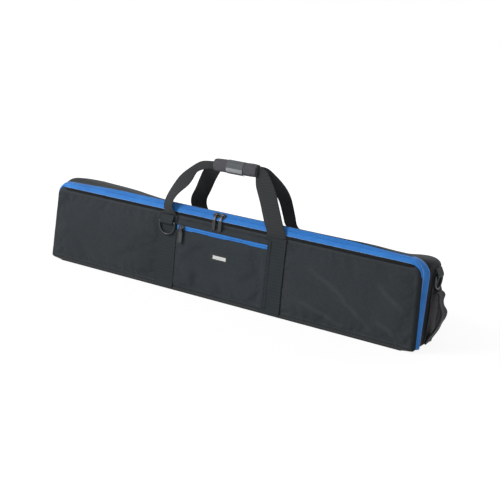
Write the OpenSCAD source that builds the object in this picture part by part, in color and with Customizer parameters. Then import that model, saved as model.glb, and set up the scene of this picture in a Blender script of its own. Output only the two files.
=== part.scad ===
// Padded telescope carry case: a soft box whose front panel is the lid.
// X runs along the case, the front faces -Y and Z is up.
// The origin is the middle of the underside.

/* [Case] */
// Length over the two end panels
case_len = 1000; // [700:10:1400]
// Depth from the front panel to the back panel
case_depth = 150; // [130:5:240]
// Height of the top panel along its front edge
case_height = 209; // [196:1:300]
// Fall of the top panel from its front edge to the back
top_drop = 24; // [5:1:40]
// Radius of the two upper corners, seen from the front
corner_r = 40; // [34:1:60]
// Radius of the two upright corners at the back
back_corner_r = 36; // [24:1:50]
// Radius of the edge where the top turns down into the back
back_edge_r = 18; // [14:1:30]

/* [Padding] */
// Outer nylon
skin_t = 1; // [0.8:0.1:1.6]
// Closed-cell foam
foam_t = 8; // [4:0.5:12]
// Inner lining
lining_t = 1; // [0.6:0.1:1.6]

/* [Main zip] */
// Setback of the zip band on both the front and the sides it joins
band_setback = 16; // [14:0.5:18]
// Thickness of the zip tape
tape_t = 1; // [0.8:0.1:1.4]
// Width of one half of the coil
coil_w = 4.4; // [3:0.1:5]
// Height of the coil above its tape
coil_h = 2.4; // [1.6:0.1:3]
// Gap between the two halves of a zip
zip_gap = 1.2; // [1:0.1:2]
// Where the two main sliders meet along the top
slider_meet_x = -10; // [-30:1:30]

/* [Sliders and pulls] */
// Length of a slider along its zip
slider_len = 16; // [14:0.5:20]
// Thickness of a slider's plates
plate_t = 1.6; // [1.2:0.1:2]
// Radius of the bridge bar that holds the pull
bar_r = 1.2; // [1:0.1:1.4]
// Length of a main pull below its bridge bar
main_pull_len = 38; // [28:1:48]
// Width of a main pull
main_pull_w = 8; // [6:0.5:12]
// Thickness of a main pull
main_pull_t = 1.8; // [1.4:0.1:2.4]
// Length of the pocket pull below its bridge bar
pocket_pull_len = 36; // [26:1:44]
// Width of the pocket pull
pocket_pull_w = 12; // [9:0.5:15]
// Thickness of the pocket pull
pocket_pull_t = 3; // [2:0.1:4]

/* [Webbing] */
// Width of the straps and handle webbing
web_w = 50; // [38:1:60]
// Thickness of the webbing
web_t = 2; // [1.4:0.1:3]
// Distance from the middle to each strap
strap_x = 147; // [120:1:220]

/* [Handles] */
// Height of the grip's middle above the top panel's front edge
grip_rise = 107; // [90:1:160]
// Length of the grip
grip_len = 112; // [90:1:130]
// Radius of the grip
grip_r = 15; // [13:0.5:20]
// Distance of the grip's middle behind the front panel
grip_back = 40; // [25:1:70]
// Height of the webbing where it runs through the grip
grip_web_h = 24; // [18:1:25]
// How far in from its strap the front webbing stands at the shoulder, left and right
front_lean = [14, 52]; // [0:1:60]
// How far in from its strap the rear webbing stands at the shoulder, left and right
rear_lean = [40, 40]; // [0:1:60]
// Depth of the shoulder below the grip's top, left and right
shoulder_drop = [48, 28]; // [20:1:60]

/* [Rings and grab handles] */
// Radius of the ring, from its middle to the middle of its wire
ring_r = 21.5; // [18:0.5:24]
// Radius of the ring's wire
wire_r = 2.5; // [2:0.1:3]
// Straight part of the ring between its bar and its round
ring_arm = 8; // [4:0.5:12]
// Height of a ring's webbing tab above its bar
tab_h = 16; // [12:1:20]
// Drop from the top of the lid to the front ring's bar
front_ring_drop = 28; // [26:1:50]
// Drop from the top panel's front edge to the end rings' bars
end_ring_drop = 48; // [46:1:70]
// How far a grab handle bows out of its strap
grab_bow = 22; // [16:1:32]
// Thickness of a grab handle
grab_t = 5; // [3:0.5:7]
// Length of each sewn foot of a grab handle
grab_foot = 12; // [8:1:18]
// Height of a grab handle's lower end above the underside
grab_low = 14; // [8:1:30]

/* [Pocket] */
// Drop from the top of the lid to the middle of the pocket zip
pocket_zip_drop = 35; // [32:1:50]
// Height of the pocket zip's two tapes together
pocket_band_h = 12; // [11:0.5:20]
// Height of the facing above the pocket zip
facing_h = 8; // [5:1:14]
// Margin below the pocket
pocket_low = 6; // [3:1:20]
// Width of the blank woven label
label_w = 50; // [30:1:60]
// Height of the blank woven label
label_h = 17; // [8:1:20]
// Drop from the pocket zip to the middle of the label
label_drop = 51; // [40:1:70]
// Shift of the label to the right of the pocket's middle
label_shift = 6; // [-20:1:20]
// Distance from the pocket's left side to its closed slider
slider_rest = 9.6; // [1.6:0.4:14]
// Thickness of the label
label_t = 0.6; // [0.4:0.1:1]
// Width of the plain band round the grip
band_w = 44; // [30:1:60]

/* [Clearances] */
// Running clearance between pieces that move past each other
run_gap = 0.3; // [0.2:0.05:0.5]
// Gap where a handle folds away from its strap
fold_gap = 1; // [0.8:0.1:1.5]
// Gap under the lid at its hinge edge
hinge_gap = 0.5; // [0.4:0.1:1]

/* [Hidden] */
$fn = 48;
ARC_STEPS = 8;
REACH = 2 * (case_len + case_depth + case_height);
front_y = -case_depth / 2;
back_y = case_depth / 2;
open_y = front_y + band_setback;
seam_x = case_len / 2 - corner_r;
seam_z = case_height - corner_r;
wall_t = skin_t + foam_t + lining_t;
seam_margin = 2;
seam_y = back_y - wall_t - seam_margin;
lid_z = skin_t + hinge_gap;
lid_top = case_height - band_setback;
lid_x = case_len / 2 - band_setback;

// The top slopes back at this angle into the rounded back edge
top_angle = atan(top_drop / (case_depth - band_setback - back_edge_r));
edge_y = back_y - back_edge_r;
edge_z = case_height - back_edge_r * cos(top_angle)
    - (edge_y + back_edge_r * sin(top_angle) - open_y) * tan(top_angle);

// Middle of the zip band, half way along its slope
band_r = corner_r - band_setback / 2;
band_y = front_y + band_setback / 2;
band_z = seam_z + band_r;

slider_w = zip_gap + 2 * (coil_w + run_gap + plate_t);
plate_v = coil_h + run_gap;
bridge_half = slider_len / 2 - plate_t;
eye_r = bar_r + run_gap;
knuckle_r = eye_r + plate_t;
bar_v = plate_v + plate_t + knuckle_r + run_gap;
bridge_post = 2 * bar_r;
knuckle_len = 2 * (bridge_half - bridge_post / 2 - run_gap);

strap_face = front_y - web_t;
fold_front_y = front_y - run_gap - web_t / 2;
fold_front_z = lid_top - web_t - fold_gap - run_gap;
fold_back_y = back_y + run_gap + web_t / 2;
fold_back_z = edge_z - back_edge_r;
grip_y = front_y + grip_back;
grip_z = case_height + grip_rise;

pocket_x = strap_x - web_w / 2;
pocket_zip_z = lid_top - pocket_zip_drop;
// The pocket's hems hold its zip just far enough off the lid for the slider's lower plate
pocket_t = tape_t + plate_t + 2 * run_gap;
pocket_face = front_y - pocket_t;
pocket_slider_x = -pocket_x + slider_len / 2 + slider_rest;

tab_layers = 2 * web_t * 0.8;
tab_w = 2 * (ring_r - wire_r - 2 * run_gap) - plate_t;
tab_ring = wire_r + run_gap + web_t * 0.8;
front_ring_z = lid_top - front_ring_drop;
end_ring_z = case_height - end_ring_drop;
end_face = case_len / 2 + web_t;
grab_high = end_ring_z - ring_arm - ring_r - 3 * wire_r - grab_foot / 4;

NYLON = [0.2, 0.21, 0.22];
FOAM = [0.35, 0.36, 0.38];
LINING = [0.42, 0.43, 0.46];
BLUE = [0.14, 0.38, 0.68];
WEB = [0.16, 0.17, 0.18];
GREY = [0.34, 0.34, 0.36];
METAL = [0.62, 0.62, 0.62];
PALE = [0.85, 0.85, 0.83];

// Points along an arc, both ends included
function arc(c, r, a0, a1, n = ARC_STEPS) =
    [for (i = [0:n]) c + r * [cos(a0 + (a1 - a0) * i / n), sin(a0 + (a1 - a0) * i / n)]];

function unit(v) = v / norm(v);

// Mitred sideways step at one point of a path, one unit from the path
function side_step(p, i) =
    let (before = unit(p[max(i, 1)] - p[max(i, 1) - 1]),
         after = unit(p[min(i + 1, len(p) - 1)] - p[min(i, len(p) - 2)]),
         mean = unit(before + after))
    [-mean[1], mean[0]] / (mean * before);

// Outline of a strip of thickness t whose middle follows the path
function strip(p, t) = concat(
    [for (i = [0:len(p) - 1]) p[i] + side_step(p, i) * t / 2],
    [for (i = [len(p) - 1:-1:0]) p[i] - side_step(p, i) * t / 2]);

// Point of the zip band's section: u runs up the slope, v stands off it
function on_band(u, v) = [band_r, band_y] + [u + v, u - v] / sqrt(2);

module box(low, high) {
    translate(low) cube(high - low);
}

// A side outline, as [y, z], carried along X
module along_x(length) {
    rotate([90, 0, 90]) linear_extrude(length, center = true) children();
}

// A front outline, as [x, z], carried along Y
module along_y(length) {
    rotate([90, 0, 0]) linear_extrude(length, center = true) children();
}

module on_right(side) {
    mirror([side > 0 ? 0 : 1, 0, 0]) children();
}

// The case as a full block, drawn in by t on every closed side and standing out of the front
module core(t) {
    half = case_len / 2 - t;
    front = open_y - band_setback;
    intersection() {
        along_x(REACH) polygon(concat(
            [[front, t], [back_y - t, t]],
            arc([edge_y, edge_z], back_edge_r - t, 0, 90 - top_angle),
            [[front, edge_z + (back_edge_r - t) * cos(top_angle)
                + (edge_y + (back_edge_r - t) * sin(top_angle) - front) * tan(top_angle)]]));
        along_y(REACH) polygon(concat(
            [[-half, 0], [half, 0]],
            arc([seam_x, seam_z], corner_r - t, 0, 90),
            arc([-seam_x, seam_z], corner_r - t, 90, 180)));
        linear_extrude(REACH) polygon(concat(
            [[-half, front], [half, front]],
            arc([half + t - back_corner_r, back_y - back_corner_r], back_corner_r - t, 0, 90),
            arc([back_corner_r - half - t, back_y - back_corner_r], back_corner_r - t, 90, 180)));
    }
}

// One layer of the walls, above that layer's floor and open at the front
module walls(outer_t, inner_t) {
    difference() {
        core(outer_t);
        core(inner_t);
        box([-REACH, -REACH, -1], [REACH, REACH, inner_t]);
        box([-REACH, -REACH, -1], [REACH, open_y, REACH]);
    }
}

module back_part(outer_t, inner_t) {
    intersection() {
        walls(outer_t, inner_t);
        box([-REACH, seam_y, 0], [REACH, REACH, REACH]);
    }
}

module top_part(outer_t, inner_t) {
    intersection() {
        walls(outer_t, inner_t);
        box([-seam_x, -REACH, seam_z / 2], [seam_x, seam_y, REACH]);
    }
}

module end_part(outer_t, inner_t, side) {
    on_right(side) intersection() {
        walls(outer_t, inner_t);
        box([seam_x, -REACH, 0], [REACH, seam_y, REACH]);
    }
}

module floor_part(outer_t, inner_t) {
    intersection() {
        core(outer_t);
        box([-REACH, open_y, 0], [REACH, REACH, inner_t]);
    }
}

// The outer base reaches forward under the lid, where it is the lid's fabric hinge
module base_panel() {
    color(NYLON) linear_extrude(skin_t) polygon(concat(
        [[-case_len / 2, open_y], [-lid_x, front_y], [lid_x, front_y], [case_len / 2, open_y]],
        arc([case_len / 2 - back_corner_r, back_y - back_corner_r], back_corner_r, 0, 90),
        arc([back_corner_r - case_len / 2, back_y - back_corner_r], back_corner_r, 90, 180)));
}

module base_foam() {
    color(FOAM) floor_part(skin_t, skin_t + foam_t);
}

module back_panel() {
    color(NYLON) back_part(0, skin_t);
}

module back_foam() {
    color(FOAM) back_part(skin_t, skin_t + foam_t);
}

module top_panel() {
    color(NYLON) top_part(0, skin_t);
}

module top_foam() {
    color(FOAM) top_part(skin_t, skin_t + foam_t);
}

module end_panel(side) {
    color(NYLON) end_part(0, skin_t, side);
}

module end_foam(side) {
    color(FOAM) end_part(skin_t, skin_t + foam_t, side);
}

module tub_lining() {
    color(LINING) difference() {
        core(skin_t + foam_t);
        core(wall_t);
        box([-REACH, -REACH, -1], [REACH, open_y, REACH]);
    }
}

// A section, as [distance from the corner's middle, y], carried round the opening
module round_opening(low_z) {
    rotate([0, -90, 0]) linear_extrude(2 * seam_x, center = true)
        translate([seam_z, 0]) children();
    translate([seam_x, 0, seam_z]) rotate([-90, 0, 0]) rotate([0, 0, -90])
        rotate_extrude(angle = 90) children();
    translate([-seam_x, 0, seam_z]) rotate([-90, 0, 0]) rotate([0, 0, 180])
        rotate_extrude(angle = 90) children();
    for (side = [-1, 1])
        on_right(side) translate([seam_x, 0, low_z]) linear_extrude(seam_z - low_z) children();
}

// The lid's tape stands on the lid's edge, the tub's tape on the edges of the walls
module lid_zip_tape() {
    step = tape_t * sqrt(2);
    foot = [corner_r - band_setback, front_y];
    color(BLUE) round_opening(lid_z) polygon([
        foot, on_band(-zip_gap / 2, 0), on_band(-zip_gap / 2, -tape_t), foot + [0, step]]);
}

module tub_zip_tape() {
    step = tape_t * sqrt(2);
    foot = [corner_r, open_y];
    color(BLUE) round_opening(skin_t) polygon([
        foot, on_band(zip_gap / 2, 0), on_band(zip_gap / 2, -tape_t), foot - [step, 0]]);
}

module coil_half(side, low_z) {
    near = side * zip_gap / 2;
    far = near + side * coil_w;
    crown = coil_h * 0.35;
    color(BLUE) round_opening(low_z) polygon([
        on_band(near, 0), on_band(far, 0), on_band(far, coil_h - crown),
        on_band(far - side * crown, coil_h), on_band(near, coil_h)]);
}

module lid_zip_coil() {
    coil_half(-1, lid_z);
}

module tub_zip_coil() {
    coil_half(1, skin_t);
}

module lid_layer(front, back) {
    translate([0, (front + back) / 2, 0]) along_y(back - front) polygon(concat(
        [[-lid_x, lid_z], [lid_x, lid_z]],
        arc([seam_x, seam_z], corner_r - band_setback, 0, 90),
        arc([-seam_x, seam_z], corner_r - band_setback, 90, 180)));
}

module lid_panel() {
    color(NYLON) lid_layer(front_y, front_y + skin_t);
}

module lid_foam() {
    color(FOAM) lid_layer(front_y + skin_t, front_y + skin_t + foam_t);
}

module lid_lining() {
    color(LINING) lid_layer(front_y + skin_t + foam_t, front_y + wall_t);
}

module front_strap(side) {
    color(WEB) box(
        [side * strap_x - web_w / 2, strap_face, lid_z],
        [side * strap_x + web_w / 2, front_y, fold_front_z - web_t / 2 - fold_gap]);
}

module rear_strap(side) {
    color(WEB) box(
        [side * strap_x - web_w / 2, back_y, skin_t],
        [side * strap_x + web_w / 2, back_y + web_t, fold_back_z - 2 * web_t]);
}

module end_strap(side) {
    color(WEB) on_right(side) box(
        [case_len / 2, -web_w / 2, skin_t],
        [end_face, web_w / 2, end_ring_z + tab_h]);
}

// A grab handle: two sewn feet and a bow between them
module grab_handle(side) {
    low = grab_low + grab_foot;
    high = grab_high - grab_foot;
    half = (high - low) / 2;
    bend_r = (half * half + grab_bow * grab_bow) / (2 * grab_bow);
    sweep = asin(half / bend_r);
    middle = [grab_bow - bend_r, (low + high) / 2];
    color(WEB) on_right(side) translate([end_face + grab_t / 2, 0, 0])
        along_y(web_w * 0.8) polygon(strip(concat(
            [[0, grab_low]], arc(middle, bend_r, -sweep, sweep, 2 * ARC_STEPS), [[0, grab_high]]),
            grab_t));
}

// Webbing folded round a ring's bar: u stands off the strap and the bar lies at the origin
module ring_tab() {
    meet = acos((tab_layers - tab_ring) / tab_ring);
    along_x(tab_w) difference() {
        polygon(concat([[tab_ring, tab_h]],
            [for (p = arc([0, 0], tab_ring, 180, 360 + meet, 3 * ARC_STEPS)) [-p[0], p[1]]],
            [[tab_ring - tab_layers, tab_h]]));
        circle(wire_r + run_gap);
    }
}

// A ring hanging flat below its bar
module ring() {
    rotate([0, 90, 0]) cylinder(h = 2 * ring_r, r = wire_r, center = true);
    translate([0, 0, -ring_arm]) rotate([90, 0, 0]) rotate([0, 0, 180]) rotate_extrude(angle = 180)
        translate([ring_r, 0]) circle(wire_r);
    for (side = [-1, 1]) translate([side * ring_r, 0, 0]) {
        sphere(wire_r);
        translate([0, 0, -ring_arm]) cylinder(h = ring_arm, r = wire_r);
    }
}

module at_front_ring() {
    translate([-strap_x, strap_face - tab_ring, front_ring_z]) children();
}

module at_end_ring(side) {
    on_right(side) translate([end_face + tab_ring, 0, end_ring_z]) rotate([0, 0, 90]) children();
}

module front_tab() {
    color(WEB) at_front_ring() ring_tab();
}

module end_tab(side) {
    color(WEB) at_end_ring(side) ring_tab();
}

module front_ring() {
    color(METAL) at_front_ring() ring();
}

module end_ring(side) {
    color(METAL) at_end_ring(side) ring();
}

module pocket_panel() {
    color(NYLON) box(
        [-pocket_x, pocket_face, pocket_low],
        [pocket_x, front_y, pocket_zip_z - pocket_band_h / 2]);
}

module pocket_facing() {
    low = pocket_zip_z + pocket_band_h / 2;
    color(NYLON) box([-pocket_x, pocket_face, low], [pocket_x, front_y, low + facing_h]);
}

module pocket_zip_tape() {
    color(BLUE) for (side = [-1, 1]) {
        near = pocket_zip_z + side * zip_gap / 2;
        far = pocket_zip_z + side * pocket_band_h / 2;
        box([-pocket_x, pocket_face, min(near, far)],
            [pocket_x, pocket_face + tape_t, max(near, far)]);
    }
}

module pocket_zip_coil() {
    color(BLUE) for (side = [-1, 1]) {
        near = pocket_zip_z + side * zip_gap / 2;
        far = near + side * coil_w;
        box([-pocket_x, pocket_face - coil_h, min(near, far)],
            [pocket_x, pocket_face, max(near, far)]);
    }
}

module pocket_label() {
    z = pocket_zip_z - label_drop;
    color(PALE) box(
        [label_shift - label_w / 2, pocket_face - label_t, z - label_h / 2],
        [label_shift + label_w / 2, pocket_face, z + label_h / 2]);
}

// Front outline of a handle: two legs that lean in to the shoulders and run through the grip
module handle_outline(foot_z, lean) {
    top = grip_z + grip_web_h / 2;
    low = grip_z - grip_web_h / 2;
    outer = strap_x + web_w / 2;
    inner = strap_x - web_w / 2;
    polygon([
        [-outer, foot_z], [-outer + lean[0], top - shoulder_drop[0]], [-grip_len / 2, top],
        [grip_len / 2, top], [outer - lean[1], top - shoulder_drop[1]], [outer, foot_z],
        [inner, foot_z], [grip_len / 2, low], [-grip_len / 2, low], [-inner, foot_z]]);
}

// Webbing of a handle: its front outline cut through a strip that follows its side view
module handle_webbing(path, lean) {
    foot = path[0];
    intersection() {
        union() {
            along_x(REACH) polygon(strip(path, web_t));
            translate([0, foot[0], foot[1]]) rotate([0, 90, 0])
                cylinder(h = REACH, r = web_t / 2, center = true);
        }
        along_y(REACH) handle_outline(foot[1] - web_t, lean);
    }
}

module front_webbing() {
    y = grip_y - run_gap / 2 - web_t / 2;
    color(WEB) handle_webbing([
        [fold_front_y, fold_front_z], [fold_front_y, case_height + web_t],
        [y, grip_z - grip_web_h / 2], [y, grip_z + grip_web_h / 2]], front_lean);
}

module rear_webbing() {
    y = grip_y + run_gap / 2 + web_t / 2;
    color(WEB) handle_webbing([
        [fold_back_y, fold_back_z], [fold_back_y, edge_z + back_edge_r],
        [y, grip_z - grip_web_h / 2], [y, grip_z + grip_web_h / 2]], rear_lean);
}

// Half of the padded wrap, with a slot for its webbing
module grip_half(side, length, r) {
    face = grip_y + side * run_gap / 2;
    slot = face + side * web_t;
    difference() {
        translate([0, grip_y, grip_z]) rotate([0, 90, 0])
            cylinder(h = length, r = r, center = true);
        box([-REACH, min(face, face - side * REACH), 0], [REACH, max(face, face - side * REACH), REACH]);
        box([-REACH, min(face, slot), grip_z - grip_web_h / 2],
            [REACH, max(face, slot), grip_z + grip_web_h / 2]);
    }
}

module front_grip() {
    color(GREY) grip_half(-1, grip_len, grip_r);
}

module rear_grip() {
    color(GREY) grip_half(1, grip_len, grip_r);
}

// A plain band of webbing sewn over the front half of the wrap
module grip_band() {
    color(GREY) difference() {
        grip_half(-1, band_w, grip_r + label_t);
        translate([0, grip_y, grip_z]) rotate([0, 90, 0])
            cylinder(h = REACH, r = grip_r, center = true);
    }
}

// A slider: X runs along its zip, Y across it and Z off it.
// Its lower plate ends at far on the side away from its flange.
module slider(far) {
    half_w = slider_w / 2;
    half_l = slider_len / 2;
    nose = slider_w / 4;
    low = -tape_t - run_gap - plate_t;
    post_half = zip_gap / 2 - run_gap;
    translate([0, 0, plate_v]) linear_extrude(plate_t) polygon([
        [-half_l, -half_w + nose], [-half_l + nose, -half_w], [half_l - nose, -half_w],
        [half_l, -half_w + nose], [half_l, half_w - nose], [half_l - nose, half_w],
        [-half_l + nose, half_w], [-half_l, half_w - nose]]);
    box([-half_l + nose, -half_w, run_gap], [half_l - nose, -half_w + plate_t, plate_v]);
    box([-half_l + nose, -zip_gap / 2 - coil_w, low], [half_l - nose, far, low + plate_t]);
    box([-plate_t, -post_half, low], [plate_t, post_half, plate_v]);
    for (side = [-1, 1])
        translate([side * bridge_half, 0, plate_v + plate_t / 2]) box(
            [-bridge_post / 2, -bridge_post / 2, 0],
            [bridge_post / 2, bridge_post / 2, bar_v + bar_r - plate_v - plate_t / 2]);
    translate([0, 0, bar_v]) rotate([0, 90, 0])
        cylinder(h = 2 * bridge_half, r = bar_r, center = true);
}

function main_slider_x(side) = slider_meet_x + side * (slider_len / 2 + run_gap);

module at_main_slider(side) {
    translate([main_slider_x(side), band_y, band_z]) rotate([45, 0, 0]) children();
}

module main_slider(side) {
    color(METAL) at_main_slider(side) slider(zip_gap / 2 - run_gap);
}

module at_pocket_slider() {
    translate([pocket_slider_x, pocket_face, pocket_zip_z]) rotate([90, 0, 0]) children();
}

module pocket_slider() {
    color(METAL) at_pocket_slider() slider(zip_gap / 2 + coil_w);
}

// A pull: a knuckle round the bridge bar, a narrow neck and a tongue, along a side view path
module pull(x, path, width, t) {
    bar = path[0];
    translate([x, 0, 0]) difference() {
        union() {
            translate([0, bar[0], bar[1]]) rotate([0, 90, 0])
                cylinder(h = knuckle_len, r = knuckle_r, center = true);
            along_x(knuckle_len) polygon(strip([path[0], path[1], path[2]], t));
            along_x(width) polygon(strip([path[1], path[2]], t));
        }
        translate([0, bar[0], bar[1]]) rotate([0, 90, 0])
            cylinder(h = REACH, r = eye_r, center = true);
    }
}

module main_pull(side) {
    bar = [band_y, band_z] + bar_v * [-1, 1] / sqrt(2);
    hang_y = pocket_face - run_gap - main_pull_t;
    color(METAL) pull(main_slider_x(side), [
        bar, [hang_y, lid_top + plate_t], [hang_y, bar[1] - main_pull_len]],
        main_pull_w, main_pull_t);
}

module pocket_pull() {
    bar = [pocket_face - bar_v, pocket_zip_z];
    color(METAL) pull(pocket_slider_x, [
        bar, bar - [0, slider_w / 2 + plate_t], bar - [0, pocket_pull_len]],
        pocket_pull_w, pocket_pull_t);
}

base_panel();
base_foam();
back_panel();
back_foam();
top_panel();
top_foam();
end_panel(-1);  // left_end_panel
end_foam(-1);  // left_end_foam
end_panel(1);  // right_end_panel
end_foam(1);  // right_end_foam
tub_lining();
tub_zip_tape();
tub_zip_coil();
rear_strap(-1);  // rear_strap_left
rear_strap(1);  // rear_strap_right
end_strap(-1);  // end_strap_left
end_strap(1);  // end_strap_right
grab_handle(-1);  // grab_handle_left
grab_handle(1);  // grab_handle_right
end_tab(-1);  // end_tab_left
end_tab(1);  // end_tab_right
lid_panel();
lid_foam();
lid_lining();
lid_zip_tape();
lid_zip_coil();
front_strap(-1);  // front_strap_left
front_strap(1);  // front_strap_right
pocket_panel();
pocket_facing();
pocket_zip_tape();
pocket_zip_coil();
pocket_label();
front_tab();
front_webbing();
front_grip();
grip_band();
rear_webbing();
rear_grip();
main_slider(-1);  // main_slider_left
main_slider(1);  // main_slider_right
main_pull(-1);  // main_pull_left
main_pull(1);  // main_pull_right
pocket_slider();
pocket_pull();
front_ring();
end_ring(-1);  // left_ring
end_ring(1);  // right_ring
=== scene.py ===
# %% [markdown]
# A padded telescope carry case, dressed over its imported CAD model.
# The CAD model gives the places, the sizes and the joints. This lesson adds what a
# stiff model can't show: soft panels, woven webbing, zips with teeth and stitched seams.
# Every piece is made in metres, in the frame of the CAD model, and rides on one of its bodies, except
# the two carry handles, which are left where they are made.

# %% Load the CAD model
import math

import bmesh
import bpy
from mathutils import Matrix, Vector, noise
from mathutils.bvhtree import BVHTree


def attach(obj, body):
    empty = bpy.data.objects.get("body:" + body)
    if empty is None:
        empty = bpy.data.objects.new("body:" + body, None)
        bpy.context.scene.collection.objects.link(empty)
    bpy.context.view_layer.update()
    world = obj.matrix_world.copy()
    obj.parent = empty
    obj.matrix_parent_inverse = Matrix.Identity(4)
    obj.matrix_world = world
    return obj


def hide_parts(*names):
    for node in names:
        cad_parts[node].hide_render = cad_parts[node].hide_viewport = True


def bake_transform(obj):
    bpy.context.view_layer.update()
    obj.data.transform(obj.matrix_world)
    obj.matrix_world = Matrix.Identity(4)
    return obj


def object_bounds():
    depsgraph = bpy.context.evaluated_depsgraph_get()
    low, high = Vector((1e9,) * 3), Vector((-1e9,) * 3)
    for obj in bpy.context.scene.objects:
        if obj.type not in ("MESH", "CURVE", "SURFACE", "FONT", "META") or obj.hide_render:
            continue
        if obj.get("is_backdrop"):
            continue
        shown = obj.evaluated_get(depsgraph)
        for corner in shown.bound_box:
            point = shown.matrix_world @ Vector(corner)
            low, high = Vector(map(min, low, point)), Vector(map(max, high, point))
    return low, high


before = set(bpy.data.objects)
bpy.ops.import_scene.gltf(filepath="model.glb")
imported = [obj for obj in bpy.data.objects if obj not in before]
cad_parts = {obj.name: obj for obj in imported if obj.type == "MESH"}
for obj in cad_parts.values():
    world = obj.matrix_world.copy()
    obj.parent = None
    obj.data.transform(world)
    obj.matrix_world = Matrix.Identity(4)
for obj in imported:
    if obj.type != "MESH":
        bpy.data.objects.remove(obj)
cad_low, cad_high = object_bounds()
MM = 0.001
print("CAD box in mm", [round(v / MM) for v in cad_high - cad_low])

# %% [markdown]
# The camera comes first, because everything else is judged through it. Its place and its
# three turns were worked out from the corners of the front panel in the photograph.

# %% Camera
FOCAL_PX = 971
IMAGE_PX = 500
SENSOR = 36
CAMERA_AT = Vector((1.119, -1.963, 0.675))
CAMERA_YAW = 28.8
CAMERA_PITCH = 13.9
CAMERA_ROLL = 5.7

camera_data = bpy.data.cameras.new("camera")
camera_data.sensor_width = SENSOR
camera_data.lens = FOCAL_PX / IMAGE_PX * SENSOR
camera = bpy.data.objects.new("camera", camera_data)
bpy.context.scene.collection.objects.link(camera)
turn = (
    Matrix.Rotation(math.radians(CAMERA_YAW), 4, "Z")
    @ Matrix.Rotation(math.radians(90 - CAMERA_PITCH), 4, "X")
    @ Matrix.Rotation(math.radians(CAMERA_ROLL), 4, "Z")
)
camera.matrix_world = Matrix.Translation(CAMERA_AT) @ turn
bpy.context.scene.camera = camera
print("lens", round(camera_data.lens, 1), "mm")

# %% [markdown]
# A product picture has soft light from the front left. The lamps stay at a plain level, so that
# the black cloth renders about as dark as its colour is written.

# %% Lamps
scene = bpy.context.scene
scene.view_settings.view_transform = "Standard"


def srgb(red, green, blue):
    """A colour given as 0 to 255 screen values, turned into linear light."""
    parts = [v / 255 for v in (red, green, blue)]
    return [v / 12.92 if v <= 0.04045 else ((v + 0.055) / 1.055) ** 2.4 for v in parts] + [1]


def lamp(name, place, aim, size, watts):
    data = bpy.data.lights.new(name, "AREA")
    data.shape = "DISK"
    data.size = size
    data.energy = watts
    made = bpy.data.objects.new(name, data)
    made.location = place
    made.rotation_euler = (Vector(aim) - Vector(place)).to_track_quat("-Z", "Y").to_euler()
    scene.collection.objects.link(made)


lamp("key", (-1.9, -2.6, 2.1), (-0.1, 0, 0.15), 1.6, 74)
lamp("fill", (1.5, -3.0, 1.1), (0.1, 0, 0.15), 1.8, 14)
lamp("back_rim", (0.3, 2.6, 2.2), (0, 0, 0.15), 1.8, 12)

# %% [markdown]
# Every finish is a small node tree. Shader arithmetic reads best as ordinary arithmetic, so
# one class wraps a socket and turns + - * / into Math nodes, and two more own the trees.

# %% Shader arithmetic


class Level:
    """One number that varies over a surface, for use in arithmetic."""

    def __init__(self, finish, socket):
        self.finish = finish
        self.socket = socket

    def _math(self, operation, *terms):
        return self.finish.node("ShaderNodeMath", {"operation": operation}, dict(enumerate(terms)))

    def __add__(self, other):
        return self._math("ADD", self, other)

    def __sub__(self, other):
        return self._math("SUBTRACT", self, other)

    def __rsub__(self, other):
        return self._math("SUBTRACT", other, self)

    def __mul__(self, other):
        return self._math("MULTIPLY", self, other)

    def __truediv__(self, other):
        return self._math("DIVIDE", self, other)

    def __gt__(self, other):
        return self._math("GREATER_THAN", self, other)

    def __lt__(self, other):
        return self._math("LESS_THAN", self, other)

    __radd__ = __add__
    __rmul__ = __mul__

    def wave(self, pitch):
        """A sine of the given pitch, from -1 to 1."""
        return self._math("SINE", self * (2 * math.pi / pitch))

    def repeat(self, pitch):
        """A saw from 0 to 1 that starts again at every pitch."""
        return self._math("FRACT", self / pitch)

    def size(self):
        return self._math("ABSOLUTE", self)

    def most(self, other):
        return self._math("MAXIMUM", self, other)

    def least(self, other):
        return self._math("MINIMUM", self, other)


class Tree:
    """A node tree, with a method that adds any node."""

    def __init__(self, tree):
        self.tree = tree

    def node(self, kind, settings=None, inputs=None, output=0):
        """Adds a node of any type, with its settings first and then its sockets."""
        made = self.tree.nodes.new(kind)
        for key, value in (settings or {}).items():
            setattr(made, key, value)
        for key, value in (inputs or {}).items():
            self.feed(made.inputs[key], value)
        return Level(self, made.outputs[output]) if made.outputs else None

    def feed(self, socket, value):
        if isinstance(value, Level):
            self.tree.links.new(value.socket, socket)
        else:
            socket.default_value = value

    def seen(self):
        """1 for rays from the camera, from a mirror or through glass, and 0 for all others."""
        rays = ("Is Camera Ray", "Is Glossy Ray", "Is Transmission Ray")
        straight, mirrored, through = [self.node("ShaderNodeLightPath", output=ray) for ray in rays]
        return straight.most(mirrored).most(through)


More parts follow.
